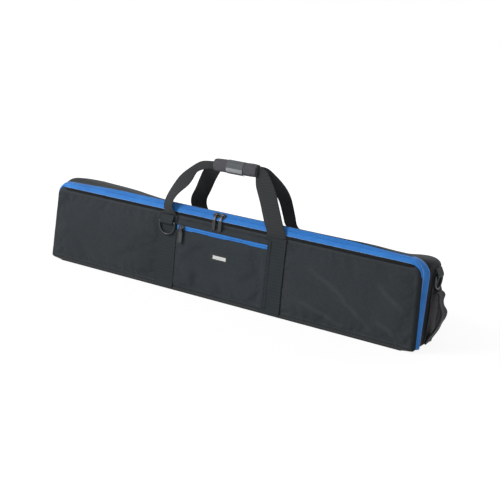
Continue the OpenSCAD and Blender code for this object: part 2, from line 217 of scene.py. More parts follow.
class Finish(Tree):
    """A material with one Principled shader."""

    def __init__(self, name, roughness=0.6, metallic=0.0):
        self.material = bpy.data.materials.new(name)
        self.material.use_nodes = True
        super().__init__(self.material.node_tree)
        self.shader = self.tree.nodes["Principled BSDF"]
        self.set(Roughness=roughness, Metallic=metallic)

    def set(self, **sockets):
        """Links or sets shader sockets, written with _ for each space."""
        for key, value in sockets.items():
            self.feed(self.shader.inputs[key.replace("_", " ")], value)
        return self

    def split(self, space):
        spot = self.node("ShaderNodeTexCoord", output=space)
        parts = self.node("ShaderNodeSeparateXYZ", inputs={0: spot}).socket.node
        return [Level(self, out) for out in parts.outputs]

    def place(self):
        """x, y and z of the piece's own coordinates."""
        return self.split("Object")

    def cloth(self):
        """Length along a strip and distance from its middle, from its own UV map, in metres."""
        return self.split("UV")[:2]

    def stored(self, name):
        """A value that the piece holds for each of its points."""
        return self.node("ShaderNodeAttribute", {"attribute_name": name}, output="Fac")

    def cloud(self, scale, detail=3.0, roughness=0.55):
        spot = self.node("ShaderNodeTexCoord", output="Object")
        return self.node(
            "ShaderNodeTexNoise",
            inputs={"Vector": spot, "Scale": scale, "Detail": detail, "Roughness": roughness},
        )

    def mix(self, share, first, second):
        made = self.tree.nodes.new("ShaderNodeMix")
        made.data_type = "RGBA"
        self.feed(made.inputs["Factor"], share)
        self.feed(made.inputs[6], first)
        self.feed(made.inputs[7], second)
        return Level(self, made.outputs[2])

    def bump(self, height, depth, strength=1.0):
        """Height from 0 to 1 seen as relief of the given depth in metres."""
        normal = self.node(
            "ShaderNodeBump", inputs={"Height": height, "Distance": depth, "Strength": strength}
        )
        return self.set(Normal=normal)


print("shader arithmetic ready")

# %% [markdown]
# Packcloth is a plain weave of thick flat yarns with a dull shine. Threads half a millimetre
# wide are lost at arm's length, so the weave is relief, and larger clouds of tone give the
# unevenness that the eye does see. The same two directions, x + y and z + y, cross on every
# side of the case, so no side needs its own map.

# %% Cloth finishes
THREAD = 1.3 * MM


def packcloth(name, dark, light, sheen=0.04, with_wear_and_painted_light=False, ends=None):
    """Worn pieces read their stored wear and painted light: pale worn creases, painted highlights and
    painted shade. ends is the colour of the painted shade on the end panels.
    """
    made = Finish(name)
    x, y, z = made.place()
    weave = (x + y).wave(THREAD) * (z + y).wave(THREAD)
    clouds = made.cloud(7.0, 4.0)
    fine = made.cloud(160.0, 2.0)
    tone = clouds * 0.55 + fine * 0.5 + weave * 0.10
    relief = weave * 0.5 + fine * 0.9 + clouds
    colour = made.mix(tone, dark, light)
    if with_wear_and_painted_light:
        wear_and_painted_light = made.stored("wear_and_painted_light")
        # Pale above zero for worn creases and painted highlights, near black below zero for painted
        # shade.
        colour = made.mix(wear_and_painted_light.most(0.0) * 0.5, colour, srgb(104, 109, 113))
        colour = made.mix((0 - wear_and_painted_light).most(0.0) * 0.8, colour, srgb(16, 18, 20))
        relief = relief + wear_and_painted_light * 1.5
    # Painted shade darkens the end panels.
    if ends:
        share = made.stored("ends")
        colour = made.mix(share * (0.95 - tone * 0.15), colour, ends)
    made.set(
        Base_Color=colour,
        Roughness=0.62 + fine * 0.2,
        Sheen_Weight=sheen,
        Sheen_Roughness=0.5,
        Specular_IOR_Level=0.12,
    )
    made.bump(relief, 0.35 * MM, 0.55)
    return made.material


# The tub's nylon darkens its end panels with a near-black painted shade.
NYLON = packcloth("nylon_black", srgb(40, 44, 47), srgb(64, 69, 72), ends=srgb(12, 13, 18))
LID_NYLON = packcloth("nylon_lid", srgb(40, 44, 48), srgb(69, 74, 78), with_wear_and_painted_light=True)
POCKET_NYLON = packcloth("nylon_pocket", srgb(42, 47, 51), srgb(69, 75, 80), with_wear_and_painted_light=True)
LINING = packcloth("lining_grey", srgb(84, 86, 92), srgb(104, 106, 111), 0.05)
WRAP = packcloth("wrap_grey", srgb(72, 71, 77), srgb(104, 103, 109), 0.1)
print("cloths", [m.name for m in (NYLON, POCKET_NYLON, LINING, WRAP)])

# %% [markdown]
# Webbing is woven in ribs along its length, and each rib is a row of slanted floats. A line of
# thread runs along both edges where a strap is sewn down. The strip's own UV map holds lengths
# in metres, so ribs and stitches have their real size on every strap.

# %% Webbing and binding
RIB = 3.0 * MM
FLOAT = 2.4 * MM
STITCH = 4.2 * MM
STITCH_GAP = 0.3
STITCH_HALF = 0.55 * MM
SLACK = 7.5 * MM


def webbing(name, dark, light, stitch_rows=()):
    made = Finish(name)
    along, across = made.cloth()
    rib = across.repeat(RIB) - 0.5
    slant = (along + rib.size() * FLOAT).wave(FLOAT)
    height = slant * 0.25 + (0.5 - rib.size())
    clouds = made.cloud(14.0, 3.0)
    slack = along.wave(SLACK) * 0.07
    colour = made.mix(height * 0.55 + clouds * 0.5 + slack, dark, light)
    if stitch_rows:
        rows = None
        for place in stitch_rows:
            near = (across.size() - place).size() < STITCH_HALF
            rows = near if rows is None else rows.most(near)
        thread = rows * (along.repeat(STITCH) > STITCH_GAP)
        colour = made.mix(thread, colour, srgb(58, 61, 64))
        height = height * 0.6 - rows * 0.7 + thread * 1.1
    made.set(
        Base_Color=colour,
        Roughness=0.58 + clouds * 0.25,
        Sheen_Weight=0.04,
        Specular_IOR_Level=0.2,
    )
    made.bump(height, 0.5 * MM, 0.7)
    return made.material


WEB_HALF = 25 * MM
STRAP_WEB = webbing("webbing_strap", srgb(30, 35, 38), srgb(63, 70, 74), (WEB_HALF - 3 * MM,))
# The straps on the ends are woven darker: a painted shade like that of the end panels.
SHADED_END_WEB = webbing("webbing_end_shaded", srgb(17, 19, 22), srgb(40, 43, 48), (WEB_HALF - 3 * MM,))
HANDLE_WEB = webbing("webbing_handle", srgb(34, 36, 38), srgb(71, 73, 75))
BINDING = webbing("binding_tape", srgb(40, 42, 44), srgb(72, 74, 76), (6 * MM,))
BAND_WEB = webbing("webbing_band", srgb(86, 91, 94), srgb(120, 124, 127))
PALE_WEB = webbing("webbing_pale", srgb(150, 153, 155), srgb(186, 188, 190))
PIPING = webbing("piping_black", srgb(8, 8, 9), srgb(20, 21, 22))
print("webbings", [m.name for m in (STRAP_WEB, HANDLE_WEB, BINDING, BAND_WEB)])

# %% [markdown]
# The zip tape is a fine twill dyed blue. Pale lines along its edges are a painted highlight where it
# catches light, and the row of thread that holds the coil is pressed into it. The coil is smooth dyed
# plastic.

# %% Zip finishes
TWILL = 1.1 * MM


def zip_tape(name, dark, light, stitch_row):
    made = Finish(name)
    along, across = made.cloth()
    twill = (along + across).wave(TWILL)
    clouds = made.cloud(22.0, 3.0)
    row = ((across.size() - stitch_row).size() < 0.5 * MM) * (along.repeat(STITCH) > STITCH_GAP)
    tone = twill * 0.18 + clouds * 0.9
    # Painted highlight: pale blue along the tape's edges, where the tape catches light.
    edge = made.stored("edge")
    colour = made.mix(row * 0.5, made.mix(tone, dark, light), dark)
    colour = made.mix(edge * 0.6, colour, srgb(160, 200, 244))
    made.set(
        Base_Color=colour,
        Roughness=0.45 + clouds * 0.2,
        Sheen_Weight=0.12,
        Specular_IOR_Level=0.3,
    )
    made.bump(twill * 0.4 + clouds - row * 0.8, 0.3 * MM, 0.6)
    return made.material


def plastic(name, dark, light, roughness):
    made = Finish(name)
    clouds = made.cloud(90.0, 3.0)
    made.set(
        Base_Color=made.mix(clouds, dark, light),
        Roughness=roughness + (clouds - 0.5) * 0.2,
    )
    made.bump(clouds, 0.08 * MM, 0.4)
    return made.material


BLUE_TAPE = zip_tape("zip_tape_blue", srgb(28, 114, 204), srgb(68, 156, 246), 6.5 * MM)
BLUE_COIL = plastic("zip_coil_blue", srgb(26, 84, 158), srgb(50, 118, 200), 0.38)
RUBBER = plastic("pull_rubber", srgb(34, 36, 38), srgb(58, 60, 62), 0.55)
RUBBER_INLAY = plastic("pull_inlay", srgb(56, 58, 60), srgb(80, 82, 84), 0.5)
print("zip finishes", BLUE_TAPE.name, BLUE_COIL.name, RUBBER.name)

# %% [markdown]
# Rings and sliders are dark plated steel: half polished, with fine scratches that run every way
# and a little darkening where dirt stays.

# %% Metals and the blank label


def plated(name, dark, light, roughness):
    made = Finish(name, roughness, 1.0)
    scratches = made.cloud(420.0, 4.0, 0.7)
    stains = made.cloud(45.0, 3.0)
    made.set(
        Base_Color=made.mix(stains * 0.7 + scratches * 0.3, dark, light),
        Roughness=roughness + scratches * 0.2,
    )
    made.bump(scratches, 0.04 * MM, 0.35)
    return made.material


RING_STEEL = plated("ring_steel", srgb(38, 40, 42), srgb(82, 84, 87), 0.25)
SLIDER_STEEL = plated("slider_steel", srgb(26, 27, 29), srgb(86, 88, 92), 0.24)
PULL_STEEL = plated("pull_steel", srgb(34, 35, 37), srgb(96, 98, 100), 0.3)


def woven_label(name):
    made = Finish(name)
    along, across = made.cloth()
    rows = across.wave(0.9 * MM)
    clouds = made.cloud(60.0, 3.0)
    bar = ((along - 25 * MM).size() < 18 * MM) * (across.size() < 4.2 * MM)
    ground = made.mix(clouds * 0.7 + rows * 0.15, srgb(30, 32, 34), srgb(46, 48, 50))
    pale = made.mix(clouds * 0.7 + rows * 0.15, srgb(226, 228, 228), srgb(250, 250, 248))
    made.set(Base_Color=made.mix(bar, ground, pale), Roughness=0.7)
    made.bump(rows * 0.5 + bar, 0.2 * MM, 0.5)
    return made.material


LABEL_CLOTH = woven_label("label_cloth")
print("metals", RING_STEEL.name, SLIDER_STEEL.name)

# %% [markdown]
# The ground is white paper that glows for the camera, so that only the shadow close to the case
# stays. The world is white to the camera and dim to everything it lights.

# %% Floor and world
FLOOR_SIZE = 60
FLOOR_GLOW = 0.8
GLOW_STRENGTH = 1.13
AMBIENT = 0.18
WHITE = (1, 1, 1, 1)

world = bpy.data.worlds.new("studio")
scene.world = world
world.use_nodes = True
sky = Tree(world.node_tree)
ambient = sky.tree.nodes["Background"]
sky.feed(ambient.inputs["Color"], WHITE)
sky.feed(ambient.inputs["Strength"], AMBIENT)
lit = Level(sky, ambient.outputs[0])
white = sky.node("ShaderNodeBackground", inputs={"Color": WHITE, "Strength": 1.0})
mixed = sky.node("ShaderNodeMixShader", inputs={0: sky.seen(), 1: lit, 2: white})
sky.feed(sky.tree.nodes["World Output"].inputs[0], mixed)

paper = Finish("floor_paper", 0.9)
tone = paper.mix(paper.cloud(0.8), srgb(246, 246, 246), srgb(252, 252, 252))
paper.set(Base_Color=tone, Specular_IOR_Level=0.0)
x, y, z = paper.place()
far_off = (x * x * 0.8 + y * y * 2 - 0.2).most(0.0).least(1.0)
share = paper.seen() * (FLOOR_GLOW + far_off * (1 - FLOOR_GLOW))
lit = Level(paper, paper.shader.outputs[0])
glow = paper.node("ShaderNodeEmission", inputs={"Color": WHITE, "Strength": GLOW_STRENGTH})
mixed = paper.node("ShaderNodeMixShader", inputs={0: share, 1: lit, 2: glow})
paper.node("ShaderNodeOutputMaterial", {"is_active_output": True}, {"Surface": mixed})
bpy.ops.object.select_all(action="DESELECT")
bpy.ops.mesh.primitive_plane_add(size=FLOOR_SIZE, location=(0, 0, cad_low.z - 0.2 * MM))
floor = bpy.context.object
floor.name = "floor"
floor.data.materials.append(paper.material)
floor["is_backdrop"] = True
print("floor at", round(cad_low.z / MM, 2), "mm")

# %% [markdown]
# Blender's operators act on what is selected, so each step first selects one piece and nothing
# else. These helpers do what a hand does in edit mode: pick by place, run a tool, apply a modifier.

# %% Modelling helpers


def only(piece):
    if bpy.context.mode != "OBJECT":
        bpy.ops.object.mode_set(mode="OBJECT")
    bpy.ops.object.select_all(action="DESELECT")
    piece.select_set(True)
    bpy.context.view_layer.objects.active = piece


def named(name):
    """Names the primitive that was just added."""
    piece = bpy.context.object
    piece.name = name
    piece.data.name = name
    return piece


def edit(piece, action="DESELECT"):
    """Opens a piece in edit mode with nothing selected, or with everything."""
    only(piece)
    bpy.ops.object.mode_set(mode="EDIT")
    bpy.ops.mesh.select_mode(type="FACE")
    bpy.ops.mesh.select_all(action=action)


def choose(piece, test, kind="faces"):
    """Selects the faces or edges whose middle and element pass the test, and nothing else."""
    bpy.ops.mesh.select_all(action="DESELECT")
    mesh = bmesh.from_edit_mesh(piece.data)
    for item in getattr(mesh, kind):
        middle = sum((v.co for v in item.verts), Vector()) / len(item.verts)
        if test(middle, item):
            item.select_set(True)
    mesh.select_flush_mode()
    bmesh.update_edit_mesh(piece.data)


def done():
    bpy.ops.object.mode_set(mode="OBJECT")


def cube(name, cuts=0):
    """A unit cube, its sides cut into even squares."""
    bpy.ops.object.select_all(action="DESELECT")
    bpy.ops.mesh.primitive_cube_add(size=1)
    piece = named(name)
    if cuts:
        edit(piece, "SELECT")
        bpy.ops.mesh.subdivide(number_cuts=cuts)
        done()
    return piece


def turn_out(piece, merge=False, fill=False):
    """Turns every face outwards, once seams are merged and ends are filled."""
    edit(piece, "SELECT")
    if merge:
        bpy.ops.mesh.remove_doubles(threshold=0.01 * MM)
    if fill:
        bpy.ops.mesh.fill_holes(sides=0)
    bpy.ops.mesh.normals_make_consistent(inside=False)
    done()


def modify(piece, kind, **settings):
    """Adds one modifier and applies it."""
    only(piece)
    made = piece.modifiers.new(kind.lower(), kind)
    for key, value in settings.items():
        setattr(made, key, value)
    bpy.ops.object.modifier_apply(modifier=made.name)


def cover(piece, materials):
    """Fills the material slots of a piece that has none yet."""
    if not isinstance(materials, (list, tuple)):
        materials = [materials]
    if not piece.data.materials:
        for material in materials:
            piece.data.materials.append(material)


def dress(piece, body, materials, replaces=(), angle=40):
    """Gives a finished piece its cloth, its body and the CAD nodes that it stands for.

    A cloth that crosses a joint gets (first body, second body, start, end) in place of one body.
    These are not used: the cloth is only baked where it stands and rides on no body.
    """
    cover(piece, materials)
    only(piece)
    bpy.ops.object.shade_smooth_by_angle(angle=math.radians(angle))
    if isinstance(body, tuple):
        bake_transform(piece)
    else:
        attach(piece, body)
    if replaces:
        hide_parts(*replaces)
    print(piece.name, len(piece.data.polygons), "faces on", body)
    return piece


def store(piece, name, values):
    """Keeps one value for each point, which a finish reads."""
    made = piece.data.attributes.new(name, "FLOAT", "POINT")
    for i in range(len(values)):
        made.data[i].value = values[i]


def surface(piece):
    """A piece's faces, ready for ray casts."""
    places = [v.co for v in piece.data.vertices]
    return BVHTree.FromPolygons(places, [f.vertices for f in piece.data.polygons])


def spread(low, high, count):
    """Evenly spaced numbers from low to high."""
    return [low + (high - low) * k / (count - 1) for k in range(count)]


def angles(count):
    """Once round a circle, with the first angle again at the end."""
    return [2 * math.pi * k / count for k in range(count + 1)]

def smooth_step(low, high, value):
    share = min(max((value - low) / (high - low), 0), 1)
    return share * share * (3 - 2 * share)


def ripple(x, y, z, size, seed=0.0):
    """Soft noise from -1 to 1 with waves of about the given size, the same at every run."""
    return noise.noise(Vector((x / size + seed, y / size - seed, z / size + 2 * seed)))


SIDES = ((-1, "left"), (1, "right"))
print("helpers ready")

# %% [markdown]
# Padded cloth is best left to the solver. The foam is air under slight pressure, the cloth is cut
# a little larger than its frame, and the seams are pinned. Twenty steps are enough for the
# panels to swell and buckle between their seams. A cap holds back any point that goes too far.

# %% Cloth between pinned seams
CLOTH_STEPS = 20


def settle(piece, sewn, pressure, spare, cap):
    """Runs the cloth solver on a piece. sewn(place) is 1 where it is pinned, 0 where it is free."""
    only(piece)
    seams = piece.vertex_groups.new(name="seams")
    start = [v.co.copy() for v in piece.data.vertices]
    for i in range(len(start)):
        seams.add([i], sewn(start[i]), "REPLACE")
    solver = piece.modifiers.new("cloth", "CLOTH")
    cloth = solver.settings
    cloth.quality = 4
    cloth.mass = 0.25
    cloth.tension_stiffness = 20
    cloth.compression_stiffness = 20
    cloth.shear_stiffness = 8
    cloth.bending_stiffness = 1.5
    cloth.use_pressure = True
    cloth.uniform_pressure_force = pressure
    cloth.shrink_min = -spare
    cloth.vertex_group_mass = seams.name
    cloth.effector_weights.gravity = 0
    solver.point_cache.frame_start = 1
    solver.point_cache.frame_end = CLOTH_STEPS
    for step in range(1, CLOTH_STEPS + 1):
        scene.frame_set(step)
    shaped = piece.evaluated_get(bpy.context.evaluated_depsgraph_get()).to_mesh()
    moves = [shaped.vertices[i].co - start[i] for i in range(len(start))]
    piece.evaluated_get(bpy.context.evaluated_depsgraph_get()).to_mesh_clear()
    piece.modifiers.remove(solver)
    piece.vertex_groups.remove(seams)
    scene.frame_set(1)
    for i in range(len(start)):
        far = moves[i].length
        held = moves[i] * (cap * math.tanh(far / cap) / far) if far > 0 else moves[i]
        piece.data.vertices[i].co = start[i] + held
    print(piece.name, "settled, furthest move", round(max(m.length for m in moves) / MM, 1), "mm")


print("cloth solver ready")

# %% [markdown]
# The tub is a soft box with its front cut away: base, back, top and two ends sewn into one
# bag round foam. Plates joined at their edges would look stiff, so one closed form is rounded,
# remeshed into even quads, sagged along the top as in the photograph, cut open at the front, and
# given its thickness inwards.

# %% Rounded form of the tub
CASE_HALF = 500 * MM
FRONT_Y = -75 * MM
BACK_Y = 75 * MM
OPEN_Y = -59 * MM
CASE_TOP = 209 * MM
CORNER_R = 40 * MM
LEFT_CORNER_R = 9 * MM
RIGHT_CORNER_R = 20 * MM
BACK_CORNER_R = 36 * MM
FULL_CORNER_R = 9 * MM
BACK_EDGE_R = 18 * MM
BASE_EDGE_R = 12 * MM
TOP_SLOPE = math.tan(math.radians(11.7))
WALL = 10 * MM


def round_corner(u, v, corner_u, corner_v, radius):
    """Moves a point of a square corner onto a round one. The corner is at large u and v."""
    du = u - (corner_u - radius)
    dv = v - (corner_v - radius)
    if du <= 0 or dv <= 0:
        return u, v
    scale = max(du, dv) / math.hypot(du, dv)
    return corner_u - radius + du * scale, corner_v - radius + dv * scale


def fuller(z):
    """How far the back of the ends stands out: fullest half way up, drawn in above and below."""
    return smooth_step(158 * MM, 80 * MM, z) * smooth_step(-10 * MM, 55 * MM, z)


def rounded_case(x, y, z):
    """A point of the plain block, moved to the rounded case."""
    y, z = round_corner(y, z, BACK_Y, CASE_TOP, BACK_EDGE_R)
    soft = LEFT_CORNER_R if x < 0 else RIGHT_CORNER_R
    corner = CORNER_R + (soft - CORNER_R) * smooth_step(-57 * MM, -30 * MM, y)
    across, z = round_corner(abs(x), z, CASE_HALF, CASE_TOP, corner)
    back_corner = BACK_CORNER_R + (FULL_CORNER_R - BACK_CORNER_R) * fuller(z)
    across, y = round_corner(across, y, CASE_HALF, BACK_Y, back_corner)
    y, low = round_corner(y, -z, BACK_Y, 0, BASE_EDGE_R)
    across, low = round_corner(across, low, CASE_HALF, 0, BASE_EDGE_R)
    slope = TOP_SLOPE * max(y - OPEN_Y, 0) * smooth_step(0.0, CASE_TOP, -low)
    return Vector((math.copysign(across, x), y, -low - slope))


BLOCK_CUTS = 64
TUB_VOXEL = 7 * MM
TUB_DEPTH = BACK_Y - FRONT_Y + 30 * MM
tub_shell = cube("tub_shell", BLOCK_CUTS)
for vertex in tub_shell.data.vertices:
    spot = vertex.co
    y = BACK_Y - (0.5 - spot.y) * TUB_DEPTH
    vertex.co = rounded_case(2 * CASE_HALF * spot.x, y, CASE_TOP * (spot.z + 0.5))
modify(tub_shell, "REMESH", mode="VOXEL", voxel_size=TUB_VOXEL)
print("tub form", len(tub_shell.data.vertices), "points")

# %% [markdown]
# Foam keeps the panels nearly flat, but the top of a long empty case always dips between the
# stiffer ends, and its panels swell a little between their seams. The dip follows the photograph:
# the back edge is highest at the left end, lowest near the middle and hollow before the right corner.

# %% Sag and swell of the tub


def top_dip(x):
    """How far the back of the top panel rises above its straight line, in metres."""
    share = x / CASE_HALF
    left = smooth_step(-0.3, -0.95, share) * 12 * MM
    right = smooth_step(0.2, 0.95, share) * 3 * MM
    middle = -8 * MM * (1 - smooth_step(0.0, 0.9, abs(share)))
    hollow = -6.5 * MM * smooth_step(0.55, 0.8, share) * smooth_step(0.93, 0.82, share)
    return left + right + middle + hollow


def end_drop(x):
    """How far the front edge of the top falls towards the ends."""
    return 5 * MM * smooth_step(300 * MM, 470 * MM, abs(x))


END_TAPER = 8 * MM
END_FULL = 5 * MM
END_SWELL = 2.5 * MM
BACK_SWELL = 2.0 * MM
SIDE_ON = 0.6


def tub_move(spot, normal):
    """Soft change of one point of the tub's skin."""
    x, y, z = spot
    rise = top_dip(x) * smooth_step(OPEN_Y, -5 * MM, y) * smooth_step(60 * MM, 170 * MM, z)
    edge_near = min(z, CASE_HALF - abs(x) + 30 * MM, 60 * MM) / (60 * MM)
    folds = ripple(x, y, z, 95 * MM, 3.1) * 1.6 * MM + ripple(x, y, z, 34 * MM, 8.4) * 0.7 * MM
    swell = 0
    if abs(normal.x) > SIDE_ON:
        loose = smooth_step(OPEN_Y + 14 * MM, OPEN_Y + 45 * MM, y)
        swell = max(1 - (z / (100 * MM) - 1) ** 2, 0) * END_SWELL * loose
        folds *= loose
    elif normal.y > SIDE_ON:
        swell = max(1 - (z / (90 * MM) - 1) ** 2, 0) * BACK_SWELL
    flat = smooth_step(0.0, 12 * MM, z)
    rise -= end_drop(x) * smooth_step(120 * MM, 200 * MM, z) * smooth_step(40 * MM, OPEN_Y, y)
    taper = END_TAPER - (END_TAPER + END_FULL) * fuller(z)
    drawn = taper * smooth_step(-5 * MM, BACK_Y, y) * math.copysign(1, x)
    drawn *= smooth_step(400 * MM, 490 * MM, abs(x))
    return Vector((-drawn, 0, rise)) + normal * (swell + folds * edge_near) * flat


for vertex, normal in [(v, v.normal.copy()) for v in tub_shell.data.vertices]:
    vertex.co = vertex.co + tub_move(vertex.co, normal)
modify(tub_shell, "SMOOTH", factor=0.5, iterations=3)
modify(tub_shell, "SUBSURF", levels=1, render_levels=1)
edit(tub_shell, "SELECT")
bpy.ops.mesh.bisect(plane_co=(0, OPEN_Y, 0), plane_no=(0, -1, 0), clear_outer=True)
done()
# Painted shade: the end panels, where the skin faces sideways, are marked to be darkened.
store(tub_shell, "ends", [smooth_step(0.3, 0.8, abs(v.normal.x)) for v in tub_shell.data.vertices])
TUB_CLOTHS = [NYLON, LINING, BINDING]
cover(tub_shell, TUB_CLOTHS)
cloths = {"material_offset": 1, "material_offset_rim": 2}
modify(tub_shell, "SOLIDIFY", thickness=WALL, offset=-1, use_rim=True, **cloths)
TUB_PANELS = ("base", "back", "top", "left_end", "right_end")
tub_nodes = [f"{panel}_{layer}" for panel in TUB_PANELS for layer in ("panel", "foam")]
dress(tub_shell, "tub", TUB_CLOTHS, (*tub_nodes, "tub_lining"))

# %% [markdown]
# The lid is one padded panel that drops forward on its lower edge. It is a shallow cushion:
# flat where its rim is sewn to the zip tape, a little fuller between, and drawn in under the two
# straps that are stitched over it.

# %% Lid pad
LID_LOW = 1.5 * MM
LID_TOP = 193 * MM
LID_BACK = -65 * MM
LIP_BACK = -68.6 * MM
LIP_FROM = 476 * MM
LID_CORNER_LEFT = 22 * MM
LID_CORNER_RIGHT = 33 * MM
LID_LOW_R = 10 * MM
LID_ROLL = 13 * MM
ROLL_DEPTH = 8 * MM
LIP_ROLL = 5.6 * MM
LID_VOXEL = 3.6 * MM
STRAP_X = 147 * MM


def lid_half(x, z):
    """Half the lid's length at a height. Its lower corners spread, more on the left."""
    spread_by = 13 if x < 0 else 8
    return (493 + spread_by * (1 - z / LID_TOP)) * MM


def lid_corner(x):
    return LID_CORNER_LEFT if x < 0 else LID_CORNER_RIGHT


def lid_inset(x, z):
    """Distance from a place on the lid in to its rim."""
    side = lid_half(x, z) - abs(x)
    top = LID_TOP - z
    corner = lid_corner(x)
    if side < corner and top < corner:
        return corner - math.hypot(corner - side, corner - top)
    return min(side, top, z - LID_LOW)


# Creases in millimetres along the lid and up it: folds worn pale, and folds still hollow, sunk into
# the pad and darkened with painted shade.
PALE_HALF = 10
HOLLOW_HALF = 18
PALE_CREASES = (
    ((215, 147), (277, 115), (320, 91), (366, 48), (417, 19)),
    ((192, 57), (265, 43), (308, 26), (358, 19)),
    ((393, 137), (435, 108), (477, 80)),
    ((400, 57), (429, 41), (463, 20)),
)
HOLLOW_CREASES = (
    ((-319, 35), (-248, 76), (-178, 110)),
    ((-476, 44), (-433, 95)),
    ((-249, 96), (-180, 130)),
    ((-116, 74), (-73, 105), (-32, 140)),
    ((48, 61), (84, 81), (113, 99)),
    ((-78, 37), (-46, 59)),
)


def creased(x, z, paths, half):
    """1 on the strongest part of a crease, falling softly to 0 at its sides and at both ends."""
    stray = Vector((ripple(x, 0, z, 46 * MM, 2.2) * 6, ripple(x, 0, z, 38 * MM, 6.1) * 5))
    spot = Vector((x / MM, z / MM)) + stray
    most = 0.0
    for path in paths:
        parts = len(path) - 1
        for i in range(parts):
            start = Vector(path[i])
            run = Vector(path[i + 1]) - start
            share = min(max((spot - start).dot(run) / run.length_squared, 0), 1)
            far = (spot - start - run * share).length
            if far < half:
                done_share = (i + share) / parts
                ends = smooth_step(0, 0.25, done_share) * smooth_step(1, 0.75, done_share)
                most = max(most, (1 - far / half) ** 1.5 * ends)
    return most * (0.7 + 0.3 * ripple(x, 0, z, 24 * MM, 7.9))


def lid_wear_and_painted_light(x, z):
    """Tone of the lid's cloth. Above zero: worn pale creases, a painted highlight on the top rim and
    a pale line at the hem. Below zero: painted shade in the hollow creases and on the sides.
    """
    top = LID_TOP - z
    side = lid_half(x, z) - abs(x)
    within = smooth_step(8 * MM, 20 * MM, side)
    pale = 0.5 * creased(x, z, PALE_CREASES, PALE_HALF)
    # Painted highlight: the top rim, where the pad rolls up into the light.
    rim = 0.45 * max(1 - abs(top - 9.5 * MM) / (3.5 * MM), 0) * within
    hem = 0.35 * max(1 - abs(z - 13 * MM) / (3.5 * MM), 0) * within
    # Painted shade: in the hollow creases, and on the rolled sides, deeper on the right.
    hollow = 0.3 * creased(x, z, HOLLOW_CREASES, HOLLOW_HALF)
    shaded = (0.8 if x > 0 else 0.3) * (1 - smooth_step(5 * MM, 12 * MM, side))
    return max(pale, rim, hem) - max(hollow, shaded)


def lid_crown(x, z):
    """How far the lid's face stands out of its flat plane, less the roll of its rim."""
    inset = max(lid_inset(x, z), 0)
    fill = smooth_step(0, 70 * MM, inset)
    outside = smooth_step(150 * MM, 230 * MM, abs(x))
    soft = ripple(x, 0, z, 150 * MM, 5.3) * 1.6 * MM + ripple(x, 0, z, 50 * MM, 1.7) * 0.7 * MM
    slanted = ripple(x + 0.8 * z, 0, 0.25 * (z - x), 34 * MM, 7.7) * 0.8 * MM * outside
    depth = ROLL_DEPTH + (LIP_ROLL - ROLL_DEPTH) * smooth_step(LIP_FROM - 8 * MM, LIP_FROM, abs(x))
    roll = depth * (1 - math.sqrt(1 - max(1 - inset / LID_ROLL, 0) ** 2))
    hollows = creased(x, z, HOLLOW_CREASES, HOLLOW_HALF) * 1.4 * MM * outside
    folds = creased(x, z, PALE_CREASES, PALE_HALF + 1) * 1.3 * MM - hollows
    loose = (soft + slanted) * (0.25 + 0.75 * outside)
    return fill * ((0.6 + 2.6 * outside) * MM + loose + folds) - roll


lid_pad = cube("lid_pad", BLOCK_CUTS)
for vertex in lid_pad.data.vertices:
    z = LID_LOW + (LID_TOP - LID_LOW) * (vertex.co.z + 0.5)
    half = lid_half(vertex.co.x, z)
    x = 2 * half * vertex.co.x
    across, z = round_corner(abs(x), z, half, LID_TOP, lid_corner(x))
    across, low = round_corner(across, -z, half, -LID_LOW, LID_LOW_R)
    y = FRONT_Y + (LID_BACK - FRONT_Y) * (vertex.co.y + 0.5)
    vertex.co = Vector((math.copysign(across, x), y, -low))
modify(lid_pad, "REMESH", mode="VOXEL", voxel_size=LID_VOXEL)
for vertex in lid_pad.data.vertices:
    spot = vertex.co
    share = min(max((spot.y - FRONT_Y) / (LID_BACK - FRONT_Y), 0), 1)
    front = FRONT_Y - lid_crown(spot.x, spot.z)
    back = LID_BACK + (LIP_BACK - LID_BACK) * smooth_step(LIP_FROM, LIP_FROM + 6 * MM, abs(spot.x))
    spot.y = front + (back - front) * share
modify(lid_pad, "SMOOTH", factor=0.5, iterations=2)


def lid_sewn(spot):
    """The lid's cloth is held at its rim, under the straps and all over its back."""
    if spot.y > LIP_BACK + 1 * MM:
        return 1.0
    rim = 1 - smooth_step(6 * MM, 16 * MM, lid_inset(spot.x, spot.z))
    straps = 1 - smooth_step(22 * MM, 30 * MM, abs(abs(spot.x) - STRAP_X))
    return max(rim, straps)


settle(lid_pad, lid_sewn, 1.5, 0.02, 4 * MM)
# The lid stores its worn creases, its painted highlights and its painted shade.
store(lid_pad, "wear_and_painted_light", [lid_wear_and_painted_light(v.co.x, v.co.z) for v in lid_pad.data.vertices])
LID_CLOTHS = [LID_NYLON, LINING]
cover(lid_pad, LID_CLOTHS)
for face in lid_pad.data.polygons:
    face.material_index = 1 if face.normal.y > 0.7 else 0
dress(lid_pad, "lid", LID_CLOTHS, ("lid_panel", "lid_foam", "lid_lining"), 70)
lid_tree = surface(lid_pad)


def lid_face(x, z):
    """Where the lid's front is at a place, found by a ray from in front of it."""
    z = min(max(z, LID_LOW + 5 * MM), LID_TOP - 5 * MM)
    hit = lid_tree.ray_cast(Vector((x, -0.3, z)), Vector((0, 1, 0)))[0]
    return hit.y


print("lid face at the middle", round(lid_face(0, 0.1) / MM, 1), "mm")

# %% [markdown]
# Everything sewn on the case is a strip: webbing, zip tape, binding. A strip is a grid whose
# rows are laid along a path, each row with its own middle and its own half width, so it can
# turn and narrow as real webbing does. Its UV map holds lengths in metres for the weave.

# %% Strips along a path


